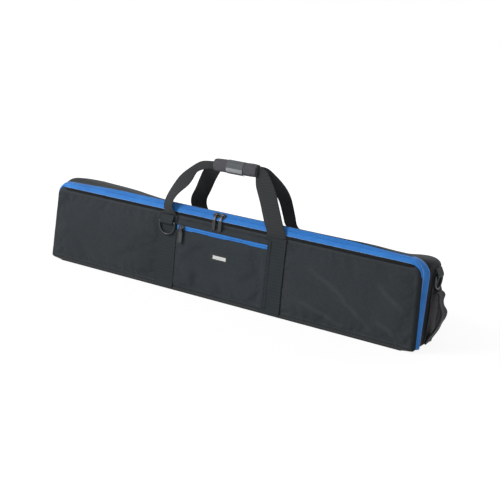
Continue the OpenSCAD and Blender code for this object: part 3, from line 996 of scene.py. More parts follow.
def between(rows, step):
    """Smooth rows through a few given ones, about one step apart. A row is (middle, half)."""

    def curve(a, b, c, d, t):
        bend = (2 * a - 5 * b + 4 * c - d) * t * t
        return 0.5 * (2 * b + (c - a) * t + bend + (3 * b - a - 3 * c + d) * t**3)

    made = []
    for i in range(len(rows) - 1):
        four = rows[max(i - 1, 0)], rows[i], rows[i + 1], rows[min(i + 2, len(rows) - 1)]
        count = max(round((rows[i + 1][0] - rows[i][0]).length / step), 1)
        for k in range(count):
            made.append(tuple(curve(*parts, k / count) for parts in zip(*four)))
    made.append(tuple(rows[-1]))
    return made


def row(x, y, z, half_x, half_y=0.0, half_z=0.0):
    """A row of a strip from millimetres."""
    return Vector((x, y, z)) * MM, Vector((half_x, half_y, half_z)) * MM


def loft(name, lines, thick, offset=0.0, marks=None):
    """A cloth through lines of points, each line across the cloth, with lengths in its UV map.

    marks is a name and a value for each point, which the finish reads.
    """
    count = len(lines)
    across = len(lines[0])
    bpy.ops.object.select_all(action="DESELECT")
    bpy.ops.mesh.primitive_grid_add(x_subdivisions=count - 1, y_subdivisions=across - 1, size=1)
    piece = named(name)
    middle = across // 2
    along = [0.0]
    for i in range(1, count):
        along.append(along[-1] + (lines[i][middle] - lines[i - 1][middle]).length)
    place = {}
    values = []
    for vertex in piece.data.vertices:
        i = round((vertex.co.x + 0.5) * (count - 1))
        j = round((vertex.co.y + 0.5) * (across - 1))
        vertex.co = lines[i][j]
        if marks:
            values.append(marks[1][i][j])
        wide = sum((lines[i][k + 1] - lines[i][k]).length for k in range(across - 1))
        place[vertex.index] = (along[i], wide * (j / (across - 1) - 0.5))
    if marks:
        store(piece, marks[0], values)
    layer = piece.data.uv_layers.active or piece.data.uv_layers.new()
    for loop in piece.data.loops:
        layer.data[loop.index].uv = place[loop.vertex_index]
    if thick:
        modify(piece, "SOLIDIFY", thickness=thick, offset=offset)
    return piece


def roll(name, lines):
    """A closed roll of cloth."""
    piece = loft(name, lines, 0)
    turn_out(piece, merge=True, fill=True)
    return piece


def strip(name, rows, across, thick, crown=0.0, offset=0.0):
    """A strip of webbing along its rows. Crown lifts its middle."""
    lines = []
    for i in range(len(rows)):
        middle, half = rows[i]
        ahead = rows[min(i + 1, len(rows) - 1)][0] - rows[max(i - 1, 0)][0]
        up = ahead.cross(half).normalized()
        shares = [2 * j / across - 1 for j in range(across + 1)]
        lines.append([middle + half * t + up * crown * (1 - t * t) for t in shares])
    return loft(name, lines, thick, offset)


print("strips ready")

# %% [markdown]
# The zip band slopes at 45 degrees round the opening, from the lid's rim to the tub's rim. Each
# half has its tape, which rides with the lid or with the tub, so the zip parts when the lid drops.

# %% Zip tapes round the opening
SEAM_X = 460 * MM
SEAM_Z = 169 * MM
BAND_R = 32 * MM
BAND_Y = -67 * MM
BAND_HALF = 16 * MM / math.sqrt(2)
TAPE_T = 1.0 * MM
SLOPE = 1 / math.sqrt(2)


def opening(step, low=7 * MM):
    """Stations round the opening from lower left to lower right: place and outward turn."""
    stations = []
    rise = round((SEAM_Z - low) / step)
    turn_steps = round(BAND_R * math.pi / 2 / step)
    run = round(2 * SEAM_X / step)
    for k in range(rise):
        stations.append((-SEAM_X, low + (SEAM_Z - low) * k / rise, math.pi))
    for k in range(turn_steps):
        stations.append((-SEAM_X, SEAM_Z, math.pi - math.pi / 2 * k / turn_steps))
    for k in range(run):
        stations.append((-SEAM_X + 2 * SEAM_X * k / run, SEAM_Z, math.pi / 2))
    for k in range(turn_steps):
        stations.append((SEAM_X, SEAM_Z, math.pi / 2 - math.pi / 2 * k / turn_steps))
    for k in range(rise + 1):
        stations.append((SEAM_X, SEAM_Z - (SEAM_Z - low) * k / rise, 0.0))
    return stations


def on_band(station, u, v):
    """A point of the band: u goes up the slope from its middle, v stands off it."""
    x, z, angle = station
    reach = BAND_R + (u + v) * SLOPE
    across = x + reach * math.cos(angle)
    height = z + reach * math.sin(angle)
    if u > 0:
        height -= end_drop(across) * u / BAND_HALF * max(math.sin(angle), 0)
    return Vector((across, BAND_Y + (u - v) * SLOPE, height))


COVER = 2.3 * MM
SIDE_REACH = 7 * MM
TUCK = 9 * MM


def zip_half(name, body, node, side):
    """The lid's half ends under the pad's rim, and the tub's half turns on to the end panels."""
    lines = []
    marks = []
    for station in opening(7 * MM):
        wave = ripple(station[0] + station[1], 0, station[2], 60 * MM, 4.0 + side) * 0.5 * MM
        turned = abs(math.cos(station[2]))
        tucked = smooth_step(0.1, 0.7, turned)
        round_over = turned if side > 0 else 0
        line = [
            on_band(station, side * 0.5 * MM, COVER - 1.0 * MM),
            on_band(station, side * 0.6 * MM, COVER),
            on_band(station, side * 3.4 * MM, COVER + wave),
            on_band(station, side * 6.0 * MM, COVER * 0.6 + wave + round_over * 1.6 * MM),
            on_band(station, side * (BAND_HALF - 1 * MM), 0.6 * MM + round_over * 1.4 * MM),
            on_band(station, side * (BAND_HALF + 0.8 * MM), 0.5 * MM + round_over * 1.1 * MM),
        ]
        edge = line[-1]
        if side < 0:
            for k in range(3, 6):
                line[k] = line[k] + Vector((0, TUCK * tucked * (k - 2) / 3, 0))
        else:
            outward = Vector((math.cos(station[2]), 0, math.sin(station[2])))
            back = Vector((0, 1, 0)) * (2.5 * MM + SIDE_REACH * turned)
            line.append(edge + back * 0.4 + outward * 1.2 * MM * turned)
            line.append(edge + back * 0.85 + outward * 0.9 * MM * turned)
            line.append(edge + back - outward * 1.2 * MM * turned)
        # Painted highlight along the outer edge of each tape on the level runs, and along the tub
        # tape's inner edge where it turns down the sides.
        painted_highlight = [0.0] * len(line)
        painted_highlight[5] = 1 - turned
        if side > 0:
            painted_highlight[0] = turned
            painted_highlight[1] = turned
        lines.append(line if side < 0 else line[::-1])
        marks.append(painted_highlight if side < 0 else painted_highlight[::-1])
    piece = loft(name, lines, 0.8 * MM, marks=("edge", marks))
    dress(piece, body, BLUE_TAPE, (node,), 50)


zip_half("lid_tape", "lid", "lid_zip_tape", -1)
zip_half("tub_tape", "tub", "tub_zip_tape", 1)

# %% [markdown]
# A thin black piping closes the seam between the pad and the tape. It lies in the groove as a painted
# shadow: near-black cloth that makes the dark line under the blue, wider towards the right.

# %% Rim piping
PIPING_R = 3.0 * MM


def rim_piping(name, body, u, v, radius, tuck, sink):
    lines = []
    for station in opening(7 * MM):
        turned = abs(math.cos(station[2]))
        back = Vector((0, tuck * turned, 0))
        deep = v - sink * turned
        wide = radius * (1 + 0.35 * smooth_step(150 * MM, 420 * MM, station[0]))
        lines.append(
            [
                on_band(station, u + wide * math.cos(a), deep + wide * math.sin(a)) + back
                for a in angles(8)
            ]
        )
    dress(roll(name, lines), body, PIPING, (), 80)


rim_piping("lid_piping", "lid", -BAND_HALF - 2.4 * MM, -3.2 * MM, PIPING_R, TUCK, 0)
rim_piping("tub_piping", "tub", BAND_HALF + 0.6 * MM, -0.6 * MM, 1.6 * MM, 0, 3 * MM)

# %% [markdown]
# Inside, a narrow facing joins the lid's lining to its tape, so that no gap shows when the lid
# lies open.

# %% Lid facing
lines = []
for station in opening(7 * MM):
    turned = abs(math.cos(station[2]))
    outward = Vector((math.cos(station[2]), 0, math.sin(station[2])))
    foot = Vector((station[0], 0, station[1]))
    profile = ((16, -64.6), (22.5, -65.2), (24.2, -69 + 4 * turned), (24.6, -75 + 9 * turned))
    lines.append([foot + outward * (r * MM) + Vector((0, y * MM, 0)) for r, y in profile])
dress(loft("lid_facing", lines, 0.8 * MM), "lid", LINING, (), 60)

# %% [markdown]
# A coil zip is a spiral of plastic along each tape. From outside it is a row of small rounded
# bars that mesh like fingers, so one bar is modelled, bevelled and copied along both halves.

# %% Zip teeth
TOOTH_PITCH = 2.6 * MM
TOOTH_LONG = 1.7 * MM * 0.72
COIL_W = 4.2 * MM
COIL_H = 1.3 * MM

tooth = cube("tooth_pattern")
edit(tooth)
choose(tooth, lambda middle, face: middle.z > 0.4)
bpy.ops.mesh.bevel(offset=0.28, segments=1, affect="EDGES")
done()
TOOTH_POINTS = [v.co.copy() for v in tooth.data.vertices]
TOOTH_FACES = [list(f.vertices) for f in tooth.data.polygons]
bpy.data.objects.remove(tooth)


def toothed(name, body, node, frames):
    """One mesh of many teeth. A frame is (base, along, across, up) with the tooth's own sizes."""
    points = []
    faces = []
    for base, along, across, up in frames:
        first = len(points)
        for p in TOOTH_POINTS:
            points.append(base + along * p.x + across * p.y + up * (p.z + 0.5))
        faces.extend([first + i for i in face] for face in TOOTH_FACES)
    mesh = bpy.data.meshes.new(name)
    mesh.from_pydata(points, [], faces)
    piece = bpy.data.objects.new(name, mesh)
    scene.collection.objects.link(piece)
    print(name, len(frames), "teeth")
    turn_out(piece)
    dress(piece, body, BLUE_COIL, (node,), 50)


def coil(name, body, node, side):
    frames = []
    stations = opening(TOOTH_PITCH)
    for i in range(1, len(stations) - 1):
        station = stations[i]
        ahead = on_band(stations[i + 1], 0, 0) - on_band(stations[i - 1], 0, 0)
        ahead.normalize()
        shift = ahead * (TOOTH_PITCH / 4 * side)
        near = on_band(station, side * -0.4 * MM, TAPE_T / 2)
        far = on_band(station, side * COIL_W, TAPE_T / 2)
        top = on_band(station, side * -0.4 * MM, TAPE_T / 2 + COIL_H)
        frames.append(((near + far) / 2 + shift, ahead * TOOTH_LONG, far - near, top - near))
    toothed(name, body, node, frames)


coil("lid_coil", "lid", "lid_zip_coil", -1)
coil("tub_coil", "tub", "tub_zip_coil", 1)

# %% [markdown]
# Two straps run up the lid and become the front carry handle, and two more climb the back. Below
# its handle a strap is sewn flat, so it follows the soft face under it, which a ray cast finds.

# %% Straps sewn on the lid, the back and the ends
WEB_T = 2.0 * MM
FOLD_FRONT_Z = 189.7 * MM
FOLD_BACK_Z = 148.6 * MM
SEWN = 0.9 * MM
HEM_FRONT = -78.0 * MM
ACROSS = (-20 * MM, 0, 20 * MM)
tub_tree = surface(tub_shell)


def back_face(x, z):
    hit = tub_tree.ray_cast(Vector((x, 0.3, z)), Vector((0, -1, 0)))[0]
    return hit.y


def end_face(side, y, z):
    hit = tub_tree.ray_cast(Vector((side * 0.7, y, z)), Vector((-side, 0, 0)))[0]
    return hit.x


def front_spot(x, z):
    y = min(lid_face(x + dx, z) for dx in ACROSS) - SEWN
    return Vector((x, min(y, HEM_FRONT + 3 * MM * smooth_step(8 * MM, 16 * MM, z)), z))


def back_spot(x, z):
    return Vector((x, max(back_face(x + dx, z) for dx in ACROSS) + SEWN, z))


def end_spot(side, z):
    return Vector((side * (max(side * end_face(side, dy, z) for dy in ACROSS) + SEWN), 0, z))


def sew(kind, word, body, web, spots, half):
    """A strap that is sewn flat along its spots."""
    piece = strip(f"{kind}_sewn_{word}", [(spot, half) for spot in spots], 8, WEB_T)
    dress(piece, body, web, (f"{kind}_{word}",))


for side, word in SIDES:
    x = side * STRAP_X
    half = Vector((WEB_HALF, 0, 0))
    end_half = Vector((0, side * WEB_HALF, 0))
    spots = [front_spot(x, z) for z in spread(2.5 * MM, 186 * MM, 32)]
    sew("front_strap", word, "lid", STRAP_WEB, spots, half)
    spots = [back_spot(x, z) for z in spread(2 * MM, 144 * MM, 25)]
    sew("rear_strap", word, "tub", STRAP_WEB, spots, -half)
    spots = [end_spot(side, z) for z in spread(3 * MM, 168 * MM, 29)]
    sew("end_strap", word, "tub", SHADED_END_WEB, spots, end_half)

# %% [markdown]
# A carry handle is the same webbing, free of the case. In the photograph the right front leg
# stays flat, the left one is twisted and bows out, and all four legs fold narrow where they
# enter the wrap. Each row below is a place on the webbing with the half width it has there.

# %% Carry handles
GRIP_Y = -35
GRIP_Z = 316
FRONT_LEGS = [
    row(-147, -77.2, 184, -25, 0, 0),
    row(-149, -78.0, 193, -22, 6, 0),
    row(-151, -77.0, 204, -19, 10, 0),
    row(-151, -72, 220, -18, 11, 0),
    row(-143, -63, 241, -18.5, 11, 3),
    row(-127, -53, 266, -17, 7, 9),
    row(-112.5, -45.5, 285, -8, 5, 13),
    row(-98, -40.5, 302, 0, 4, 12.5),
    row(-81, -38.5, 309, 0.5, 2.5, 10.5),
    row(-61, -37.2, 312, 0, 1.0, 9.5),
    row(-40, -36.4, 315, 0, 0, 11),
    row(-20, -36.3, 316, 0, 0, 12),
    row(0, -36.3, 316, 0, 0, 12),
    row(30, -36.3, 316, 0, 0, 12),
    row(56, -36.6, 317, 2, 0, 12.5),
    row(70, -37.5, 312, 14, 0, 9),
    row(89, -46, 284, 25, 0, 1),
    row(110, -58.5, 252, 25, 0, 0),
    row(133, -74, 216, 25, 0, 0),
    row(144, -77.8, 198, 25, 0, 0),
    row(147, -77.2, 184, 25, 0, 0),
]
REAR_LEGS = [
    row(-147, 77.4, 143, -25, 0, 0),
    row(-149, 76.5, 164, -25, 0, 0),
    row(-152, 62, 188, -22, -4, 0),
    row(-141, 43, 211, -22, -2, 0),
    row(-117, 20, 239, -22.5, 0, 0),
    row(-94, -3, 268, -22.5, 0, 0),
    row(-69, -26, 296, -22, 0, 1),
    row(-50, -33, 311, -12, 0, 8),
    row(-34, -33.8, 316, -1, 0, 12),
    row(0, -33.8, 316, 0, 0, 12),
    row(30, -33.8, 316, 0, 0, 12),
    row(60, -33.6, 317, 1, 0, 12),
    row(74, -29, 314, 6, 3, 12),
    row(87, -16, 298, 9, 4, 12),
    row(104, -2, 277, 11, 4, 10),
    row(113, 12, 254, 13.5, 3, 7),
    row(115.5, 34, 216, 15.5, 2, 2.5),
    row(117, 52, 187, 17, 1, 0),
    row(133, 75.5, 164, 23, 0, 0),
    row(147, 77.4, 143, 25, 0, 0),
]


def carry_handle(name, legs, bodies, node):
    piece = strip(name, between(legs, 5 * MM), 8, WEB_T, 0.6 * MM)
    modify(piece, "SUBSURF", levels=1, render_levels=1)
    dress(piece, bodies, HANDLE_WEB, (node,), 60)


FOLD_Y = 76.3 * MM
front_fold = [Vector((0, -FOLD_Y, FOLD_FRONT_Z + up * MM)) for up in (-4, 6)]
rear_fold = [Vector((0, FOLD_Y, FOLD_BACK_Z + up * MM)) for up in (-4, 8)]
carry_handle("front_legs", FRONT_LEGS, ("lid", "front_handle", *front_fold), "front_webbing")
carry_handle("rear_legs", REAR_LEGS, ("tub", "rear_handle", *rear_fold), "rear_webbing")

# %% [markdown]
# The wrap is a padded cloth folded round both handles. It rides on them in two halves, so that
# each handle can fall to its own side. Each half is a soft D in section with rounded ends.

# %% Wrap and its plain band
GRIP_HALF = 57
GRIP_R = 15
GRIP_GAP = 0.15
BAND_X = 5


def wrap_half(name, side):
    """One half of the wrap, from a primitive tube cut along its length."""
    bpy.ops.object.select_all(action="DESELECT")
    bpy.ops.mesh.primitive_cylinder_add(vertices=32, radius=GRIP_R * MM, depth=2 * GRIP_HALF * MM)
    piece = named(name)
    edit(piece, "SELECT")
    bpy.ops.transform.rotate(value=math.pi / 2, orient_axis="Y", center_override=(0, 0, 0))
    cut_at = (0, side * GRIP_GAP * MM, 0)
    bpy.ops.mesh.bisect(plane_co=cut_at, plane_no=(0, -side, 0), clear_outer=True, use_fill=True)
    done()
    return piece


def soft_wrap(name, side, body, node):
    piece = wrap_half(name, side)
    modify(piece, "REMESH", mode="VOXEL", voxel_size=1.8 * MM)
    for vertex in piece.data.vertices:
        x, y, z = vertex.co
        square = 1 + 0.10 * math.sin(2 * math.atan2(abs(z), abs(y) + 0.1 * MM)) ** 2
        if abs(y) > 0.6 * MM:
            end = 1 - 0.05 * smooth_step(40 * MM, 57 * MM, abs(x))
            y *= square * end
            z *= square * end
        lump = ripple(x, y, z, 16 * MM, 2.2 + side) * 0.5 * MM
        if abs(y) > 1.0 * MM:
            y += lump * math.copysign(1, y)
            z += ripple(x, y, z, 20 * MM, 6.6) * 0.5 * MM
        vertex.co = Vector((x + 3 * MM, y + GRIP_Y * MM, z + (GRIP_Z + 0.02 * x / MM) * MM))
    modify(piece, "SMOOTH", factor=0.5, iterations=2)
    dress(piece, body, WRAP, (node,), 60)


soft_wrap("front_wrap", -1, "front_handle", "front_grip")
soft_wrap("rear_wrap", 1, "rear_handle", "rear_grip")


def wrap_point(angle, lift):
    """A point of the front half's section, from the top (90 degrees) round to the bottom."""
    y = math.cos(math.radians(angle))
    z = math.sin(math.radians(angle))
    square = 1 + 0.10 * math.sin(2 * math.radians(angle)) ** 2
    reach = GRIP_R * square + lift
    return GRIP_Y - y * reach, GRIP_Z + z * reach


def wrap_band(name, web, replaces, first, last, count, lift, half, thick):
    """A cloth on the wrap's front from one angle to another."""
    rows = []
    for angle in spread(first, last, count):
        y, z = wrap_point(angle, lift)
        rows.append(row(BAND_X, y, z + 0.1, half))
    dress(strip(name, rows, 10, thick), "front_handle", web, replaces, 60)


wrap_band("wrap_band", BAND_WEB, ("grip_band",), 84, -84, 31, 0.9, 22, 0.8 * MM)
wrap_band("wrap_band_edge", PALE_WEB, (), -4, -34, 9, 1.7, 21.5, 0.6 * MM)

# %% [markdown]
# The pocket is a flat bag of the same nylon between the straps. Its left side is sewn beside one
# strap, its right side lies folded on the other, its lower hem is sewn, and its mouth is a zip
# with a narrow facing above it.

# %% Pocket
POCKET_HALF = 125 * MM
POCKET_RIGHT = 134 * MM
STRAP_EDGE = 122 * MM
POCKET_LOW = 12.2 * MM
POCKET_HIGH = 152.5 * MM
POCKET_ZIP_Z = 158 * MM
POCKET_FACE = -78.2 * MM


def on_strap(x):
    """0 to 1 where the pocket climbs on to the right strap."""
    return smooth_step(STRAP_EDGE - 12 * MM, STRAP_EDGE - 3 * MM, x)


def pocket_front(x, z):
    """The pocket's cloth: sewn down at its sides and hem, fuller towards its mouth."""
    share = (z - POCKET_LOW) / (POCKET_HIGH - POCKET_LOW)
    sides = smooth_step(0, 45 * MM, POCKET_HALF - abs(min(x, POCKET_HALF)))
    fill = smooth_step(0, 0.25, share) * (0.5 + 0.5 * share) * (0.35 + 0.65 * sides)
    slack = ripple(x, 0, z, 70 * MM, 9.1) * 0.7 * MM
    slack += ripple(x + 0.6 * z, 0, z, 28 * MM, 3.3) * 0.35 * MM
    slack -= creased(x, z, HOLLOW_CREASES, HOLLOW_HALF) * 1.0 * MM
    lift = 0.9 * MM + fill * (1.7 * MM + slack)
    lift = max(lift, 3.0 * MM * on_strap(x))
    mouth = smooth_step(0.86, 1.0, share)
    return (lid_face(x, z) - lift) * (1 - mouth) + (POCKET_FACE - 0.5 * MM) * mouth


heights = spread(POCKET_LOW, POCKET_HIGH, 40)
lines = [
    [Vector((x, pocket_front(x, z), z)) for z in heights]
    for x in spread(-POCKET_HALF, POCKET_RIGHT, 64)
]
# Painted shade in the pocket's hollow creases, stored below zero.
wear_and_painted_light = [
    [-0.36 * creased(spot.x, spot.z, HOLLOW_CREASES, HOLLOW_HALF) for spot in line]
    for line in lines
]
pocket = loft("pocket_cloth", lines, 0.9 * MM, marks=("wear_and_painted_light", wear_and_painted_light))
dress(pocket, "lid", POCKET_NYLON, ("pocket_panel",), 60)

lines = []
for x in spread(-POCKET_HALF, POCKET_RIGHT, 50):
    top = lid_face(x, 175 * MM) - 0.5 * MM - 2.4 * MM * on_strap(x)
    lines.append(
        [
            Vector((x, POCKET_FACE - 0.4 * MM, 163.4 * MM)),
            Vector((x, POCKET_FACE - 0.9 * MM, 164.2 * MM)),
            Vector((x, POCKET_FACE - 0.2 * MM, 168 * MM)),
            Vector((x, (POCKET_FACE + top) / 2, 171.5 * MM)),
            Vector((x, top, 175 * MM)),
        ]
    )
facing = loft("pocket_facing_cloth", lines, 0.8 * MM)
dress(facing, "lid", POCKET_NYLON, ("pocket_facing",), 60)

# %% [markdown]
# The pocket's zip is the same zip, smaller: two narrow tapes and two rows of teeth that mesh.

# %% Pocket zip
ZIP_LEFT = -119 * MM
ZIP_RIGHT = 127 * MM
ZIP_SECTION = ((-1.6, 0), (-1.9, 0.4), (-1.7, 2.6), (-0.6, 4.2), (0, 7.0))
for side, word in ((-1, "low"), (1, "high")):
    lines = []
    for x in spread(ZIP_LEFT, ZIP_RIGHT, 62):
        y = POCKET_FACE + 0.9 * MM + ripple(x, 0, 0, 40 * MM, 2.0 + side) * 0.25 * MM
        inner = POCKET_ZIP_Z + side * 0.5 * MM
        line = [Vector((x, y + a * MM, inner + side * b * MM)) for a, b in ZIP_SECTION]
        lines.append(line if side > 0 else line[::-1])
    tape = loft(f"pocket_tape_{word}", lines, 0.7 * MM)
    dress(tape, "lid", BLUE_TAPE, ("pocket_zip_tape",) if side < 0 else (), 50)
frames = []
count = round((ZIP_RIGHT - ZIP_LEFT) / TOOTH_PITCH)
for i in range(count):
    x = ZIP_LEFT + (ZIP_RIGHT - ZIP_LEFT) * (i + 0.5) / count
    for side in (-1, 1):
        away = x + side * TOOTH_PITCH / 4
        base = Vector((away, POCKET_FACE + 0.8 * MM, POCKET_ZIP_Z + side * 1.9 * MM))
        across = Vector((0, 0, side * COIL_W))
        frames.append((base, Vector((TOOTH_LONG, 0, 0)), across, Vector((0, -COIL_H, 0))))
toothed("pocket_coil", "lid", "pocket_zip_coil", frames)

# %% [markdown]
# A folded edge closes the pocket on the right, over the strap and over the end of its zip. Thin black
# cords lie in the seams beside the straps as a painted shadow: near-black cloth that makes the dark
# grooves there.

# %% Pocket edge and seam cords
CORD_R = 1.1 * MM
edge_x = POCKET_RIGHT - 3 * MM
rows = []
for z in spread(5 * MM, 176 * MM, 58):
    over_zip = smooth_step(144 * MM, 151 * MM, z) * smooth_step(172 * MM, 166 * MM, z)
    y = pocket_front(edge_x, min(z, POCKET_HIGH)) - 0.9 * MM
    if z > POCKET_HIGH:
        y = min(lid_face(edge_x, z) - 3.6 * MM, y + 1.2 * MM)
    y = y * (1 - over_zip) + (POCKET_FACE - 1.6 * MM) * over_zip
    rows.append((Vector((edge_x + 0.5 * MM, y, z)), Vector((3.4 * MM, 1.3 * MM, 0))))
pocket_edge = strip("pocket_edge", rows, 4, 0.8 * MM, 0.3 * MM)
dress(pocket_edge, "lid", POCKET_NYLON, (), 60)
for word, x, top in (("left", -121.2 * MM, 174 * MM), ("right", 172.6 * MM, 184 * MM)):
    lines = []
    for z in spread(9 * MM, top, 50):
        y = lid_face(x, z) - 1.0 * MM
        if x < 0:
            y = min(y, pocket_front(x, min(z, POCKET_HIGH)) + 0.1 * MM)
        lines.append(
            [Vector((x + CORD_R * math.cos(a), y - CORD_R * math.sin(a), z)) for a in angles(10)]
        )
    dress(roll(f"seam_cord_{word}", lines), "lid", PIPING, (), 80)

# %% [markdown]
# A small woven patch is sewn on the pocket. It is left plain: a dark ground with one pale bar.

# %% Patch on the pocket
PATCH_X = 6 * MM
PATCH_HALF_X = 25 * MM
PATCH_Z = 107 * MM
PATCH_HALF_Z = 9 * MM
heights = spread(PATCH_Z - PATCH_HALF_Z, PATCH_Z + PATCH_HALF_Z, 9)
lines = [
    [Vector((x, pocket_front(x, z) - 0.75 * MM, z)) for z in heights]
    for x in spread(PATCH_X - PATCH_HALF_X, PATCH_X + PATCH_HALF_X, 17)
]
patch = loft("pocket_patch", lines, 0.6 * MM)
dress(patch, "lid", LABEL_CLOTH, ("pocket_label",), 50)

# %% [markdown]
# Each ring hangs in a loop of webbing. The loop goes down, round the straight bar of the ring and
# up again, and both layers are sewn to the strap behind them.

# %% Ring loops
LOOP_HALF = 17 * MM
BAR_R = 4.3


def loop_path(face, bar, low, top):
    """Side view of a loop as (outward distance, height) in mm, from behind to the front."""
    points = [(face + 1.0, top), (face + 1.1, low + 6), (bar - BAR_R * 0.9, low + 1)]
    for k in range(7):
        angle = math.radians(180 + 180 * k / 6)
        points.append((bar + BAR_R * math.cos(angle), low + BAR_R * math.sin(angle)))
    points += [(bar + BAR_R * 0.8, low + 4), (face + 5.2, low + 11)]
    points += [(face + 3.2, top - 3), (face + 2.8, top)]
    return points


def ring_loop(name, node, body, path, out, side_way, middle):
    rows = [(middle + out * (a * MM) + Vector((0, 0, b * MM)), side_way * LOOP_HALF) for a, b in path]
    piece = strip(name, between(rows, 2.5 * MM), 6, 1.4 * MM)
    dress(piece, body, STRAP_WEB, (node,), 60)


path = loop_path(77.6, 81.4, 165, 182)
ahead = Vector((0, -1, 0))
rightward = Vector((1, 0, 0))
ring_loop("front_ring_loop", "front_tab", "lid", path, ahead, rightward, -STRAP_X * rightward)
path = loop_path(501.5, 506.4, 161, 178)
for side, word in SIDES:
    names = f"end_ring_loop_{word}", f"end_tab_{word}"
    ring_loop(*names, "tub", path, side * rightward, -side * ahead, Vector())

# %% [markdown]
# The grab handles on the ends are two layers of webbing sewn together. Use has bent them, so the
# bow is uneven: a short fold under the ring, the fullest point in the middle, a long slope below.

# %% Grab handles
GRAB_PATH = (
    ((503.4, 112), (503.8, 120), (508, 125), (515, 125.5), (518.6, 119), (518.4, 108), (523, 96))
    + ((528.5, 84), (528, 71), (524, 57), (517.5, 41), (509, 25), (504.5, 15), (503.5, 8))
)
for side, word in SIDES:
    rows = []
    for i in range(len(GRAB_PATH)):
        x, z = GRAB_PATH[i]
        free = math.sin(math.pi * i / (len(GRAB_PATH) - 1))
        narrow = 20 - 4 * free
        tilt = 2.5 * math.sin(i * 1.9) * free
        rows.append(row(side * x, tilt, z, tilt * 0.6, side * narrow, 0))
    piece = strip(f"grab_web_{word}", between(rows, 4 * MM), 8, 4.6 * MM, -1.4 * MM)
    modify(piece, "SUBSURF", levels=1, render_levels=1)
    dress(piece, "tub", HANDLE_WEB, (f"grab_handle_{word}",), 60)

# %% [markdown]
# The lid hangs on a strip of base cloth, and a rolled binding covers its lower seam.

# %% Hinge cloth and lower piping
HINGE_SECTION = ((-52, 1.2), (-60, 0.7), (-67, 0.5), (-72, 0.6), (-74.9, 0.8))
lines = [
    [Vector((x, y, z)) * MM for y, z in HINGE_SECTION]
    for x in spread(-470, 470, 80)
]
dress(loft("hinge_cloth", lines, 0.8 * MM), "tub", NYLON, (), 60)
lines = []
for x in spread(-488, 488, 120):
    thin = 0.4 + 0.6 * smooth_step(490, 470, abs(x))
    wide = 3.8 * thin
    high = 4.0 * thin
    section = [(-73.4 - wide * math.sin(a), 5.4 - high * math.cos(a)) for a in angles(16)]
    lines.append([Vector((x, y, z)) * MM for y, z in section])
dress(roll("low_piping", lines), "lid", BINDING, (), 80)

# %% [markdown]
# A slider is die cast: a plate with rounded shoulders, a lip on each side that guides the coil and
# a bridge that holds the pull. It is put together from bevelled blocks and bars on the level,
# melted into one casting by a fine remesh, and then turned on to the slope of its zip.

# %% Zip sliders


def block(size, at, bevel, turned=None):
    """A bevelled block in millimetres, for joining into a larger piece."""
    piece = cube("block")
    edit(piece, "SELECT")
    bpy.ops.transform.resize(value=[v * MM for v in size])
    bpy.ops.mesh.bevel(offset=bevel * MM, segments=3, affect="EDGES")
    done()
    piece.data.transform(Matrix.Translation(Vector(at) * MM) @ (turned or Matrix()))
    return piece


def bar(radius, length, at, axis):
    """A round bar in millimetres along X, Y or Z."""
    bpy.ops.object.select_all(action="DESELECT")
    bpy.ops.mesh.primitive_cylinder_add(vertices=24, radius=radius * MM, depth=length * MM)
    piece = bpy.context.object
    spin = {"X": ("Y", 90), "Y": ("X", 90), "Z": ("Z", 0)}[axis]
    turn_to = Matrix.Rotation(math.radians(spin[1]), 4, spin[0])
    piece.data.transform(Matrix.Translation(Vector(at) * MM) @ turn_to)
    return piece


def joined(name, pieces):
    only(pieces[0])
    for piece in pieces[1:]:
        piece.select_set(True)
    bpy.ops.object.join()
    return named(name)


SLIDER_HALF = 8
SLIDER_W = 13.6
PLATE_V = 2.9
BRIDGE_HALF = 6.4
BRIDGE_V = 7.7


def zip_slider(name, body, node, place, across, off):
    lip_y = SLIDER_W / 2 - 0.8
    parts = [
        block((2 * SLIDER_HALF, SLIDER_W - 3, 2.0), (0, 0, PLATE_V + 0.8), 0.6),
        block((2 * SLIDER_HALF - 5, SLIDER_W, 2.0), (0, 0, PLATE_V + 0.8), 0.6),
        block((11, 1.5, 3.2), (0, -lip_y, PLATE_V - 0.6), 0.4),
        block((11, 1.5, 3.2), (0, lip_y, PLATE_V - 0.6), 0.4),
        block((12, 3.4, 1.6), (0, 0, PLATE_V + 1.9), 0.5),
        bar(1.2, 2 * BRIDGE_HALF + 2.2, (0, 0, BRIDGE_V), "X"),
        bar(1.3, 4.6, (-BRIDGE_HALF, 0, BRIDGE_V - 2), "Z"),
        bar(1.3, 4.6, (BRIDGE_HALF, 0, BRIDGE_V - 2), "Z"),
    ]
    piece = joined(name, parts)
    modify(piece, "REMESH", mode="VOXEL", voxel_size=0.45 * MM)
    modify(piece, "SMOOTH", factor=0.5, iterations=3)
    along = across.cross(off)
    axes = Matrix((along, across, off)).transposed().to_4x4()
    piece.data.transform(Matrix.Translation(place) @ axes)
    dress(piece, body, SLIDER_STEEL, (node,), 60)


UP_SLOPE = Vector((0, SLOPE, SLOPE))
OFF_SLOPE = Vector((0, -SLOPE, SLOPE))
MAIN_SLIDERS = (("left", -18.3), ("right", -1.7))
POCKET_SLIDER_X = -104.4
for word, x in MAIN_SLIDERS:
    at = Vector((x * MM, BAND_Y, SEAM_Z + BAND_R))
    zip_slider(f"slider_{word}", f"{word}_slider", f"main_slider_{word}", at, UP_SLOPE, OFF_SLOPE)
at = Vector((POCKET_SLIDER_X * MM, POCKET_FACE, POCKET_ZIP_Z))
pocket_axes = Vector((0, 0, 1)), Vector((0, -1, 0))
zip_slider("slider_pocket", "pocket_slider_body", "pocket_slider", at, *pocket_axes)

# %% [markdown]
# A pull hangs on the bridge by a knuckle. The tongues on the case's own zip are plated frames with
# a rubber inlay, so their edges catch the light while their middles stay dark. The pocket's pull
# is moulded rubber all over.

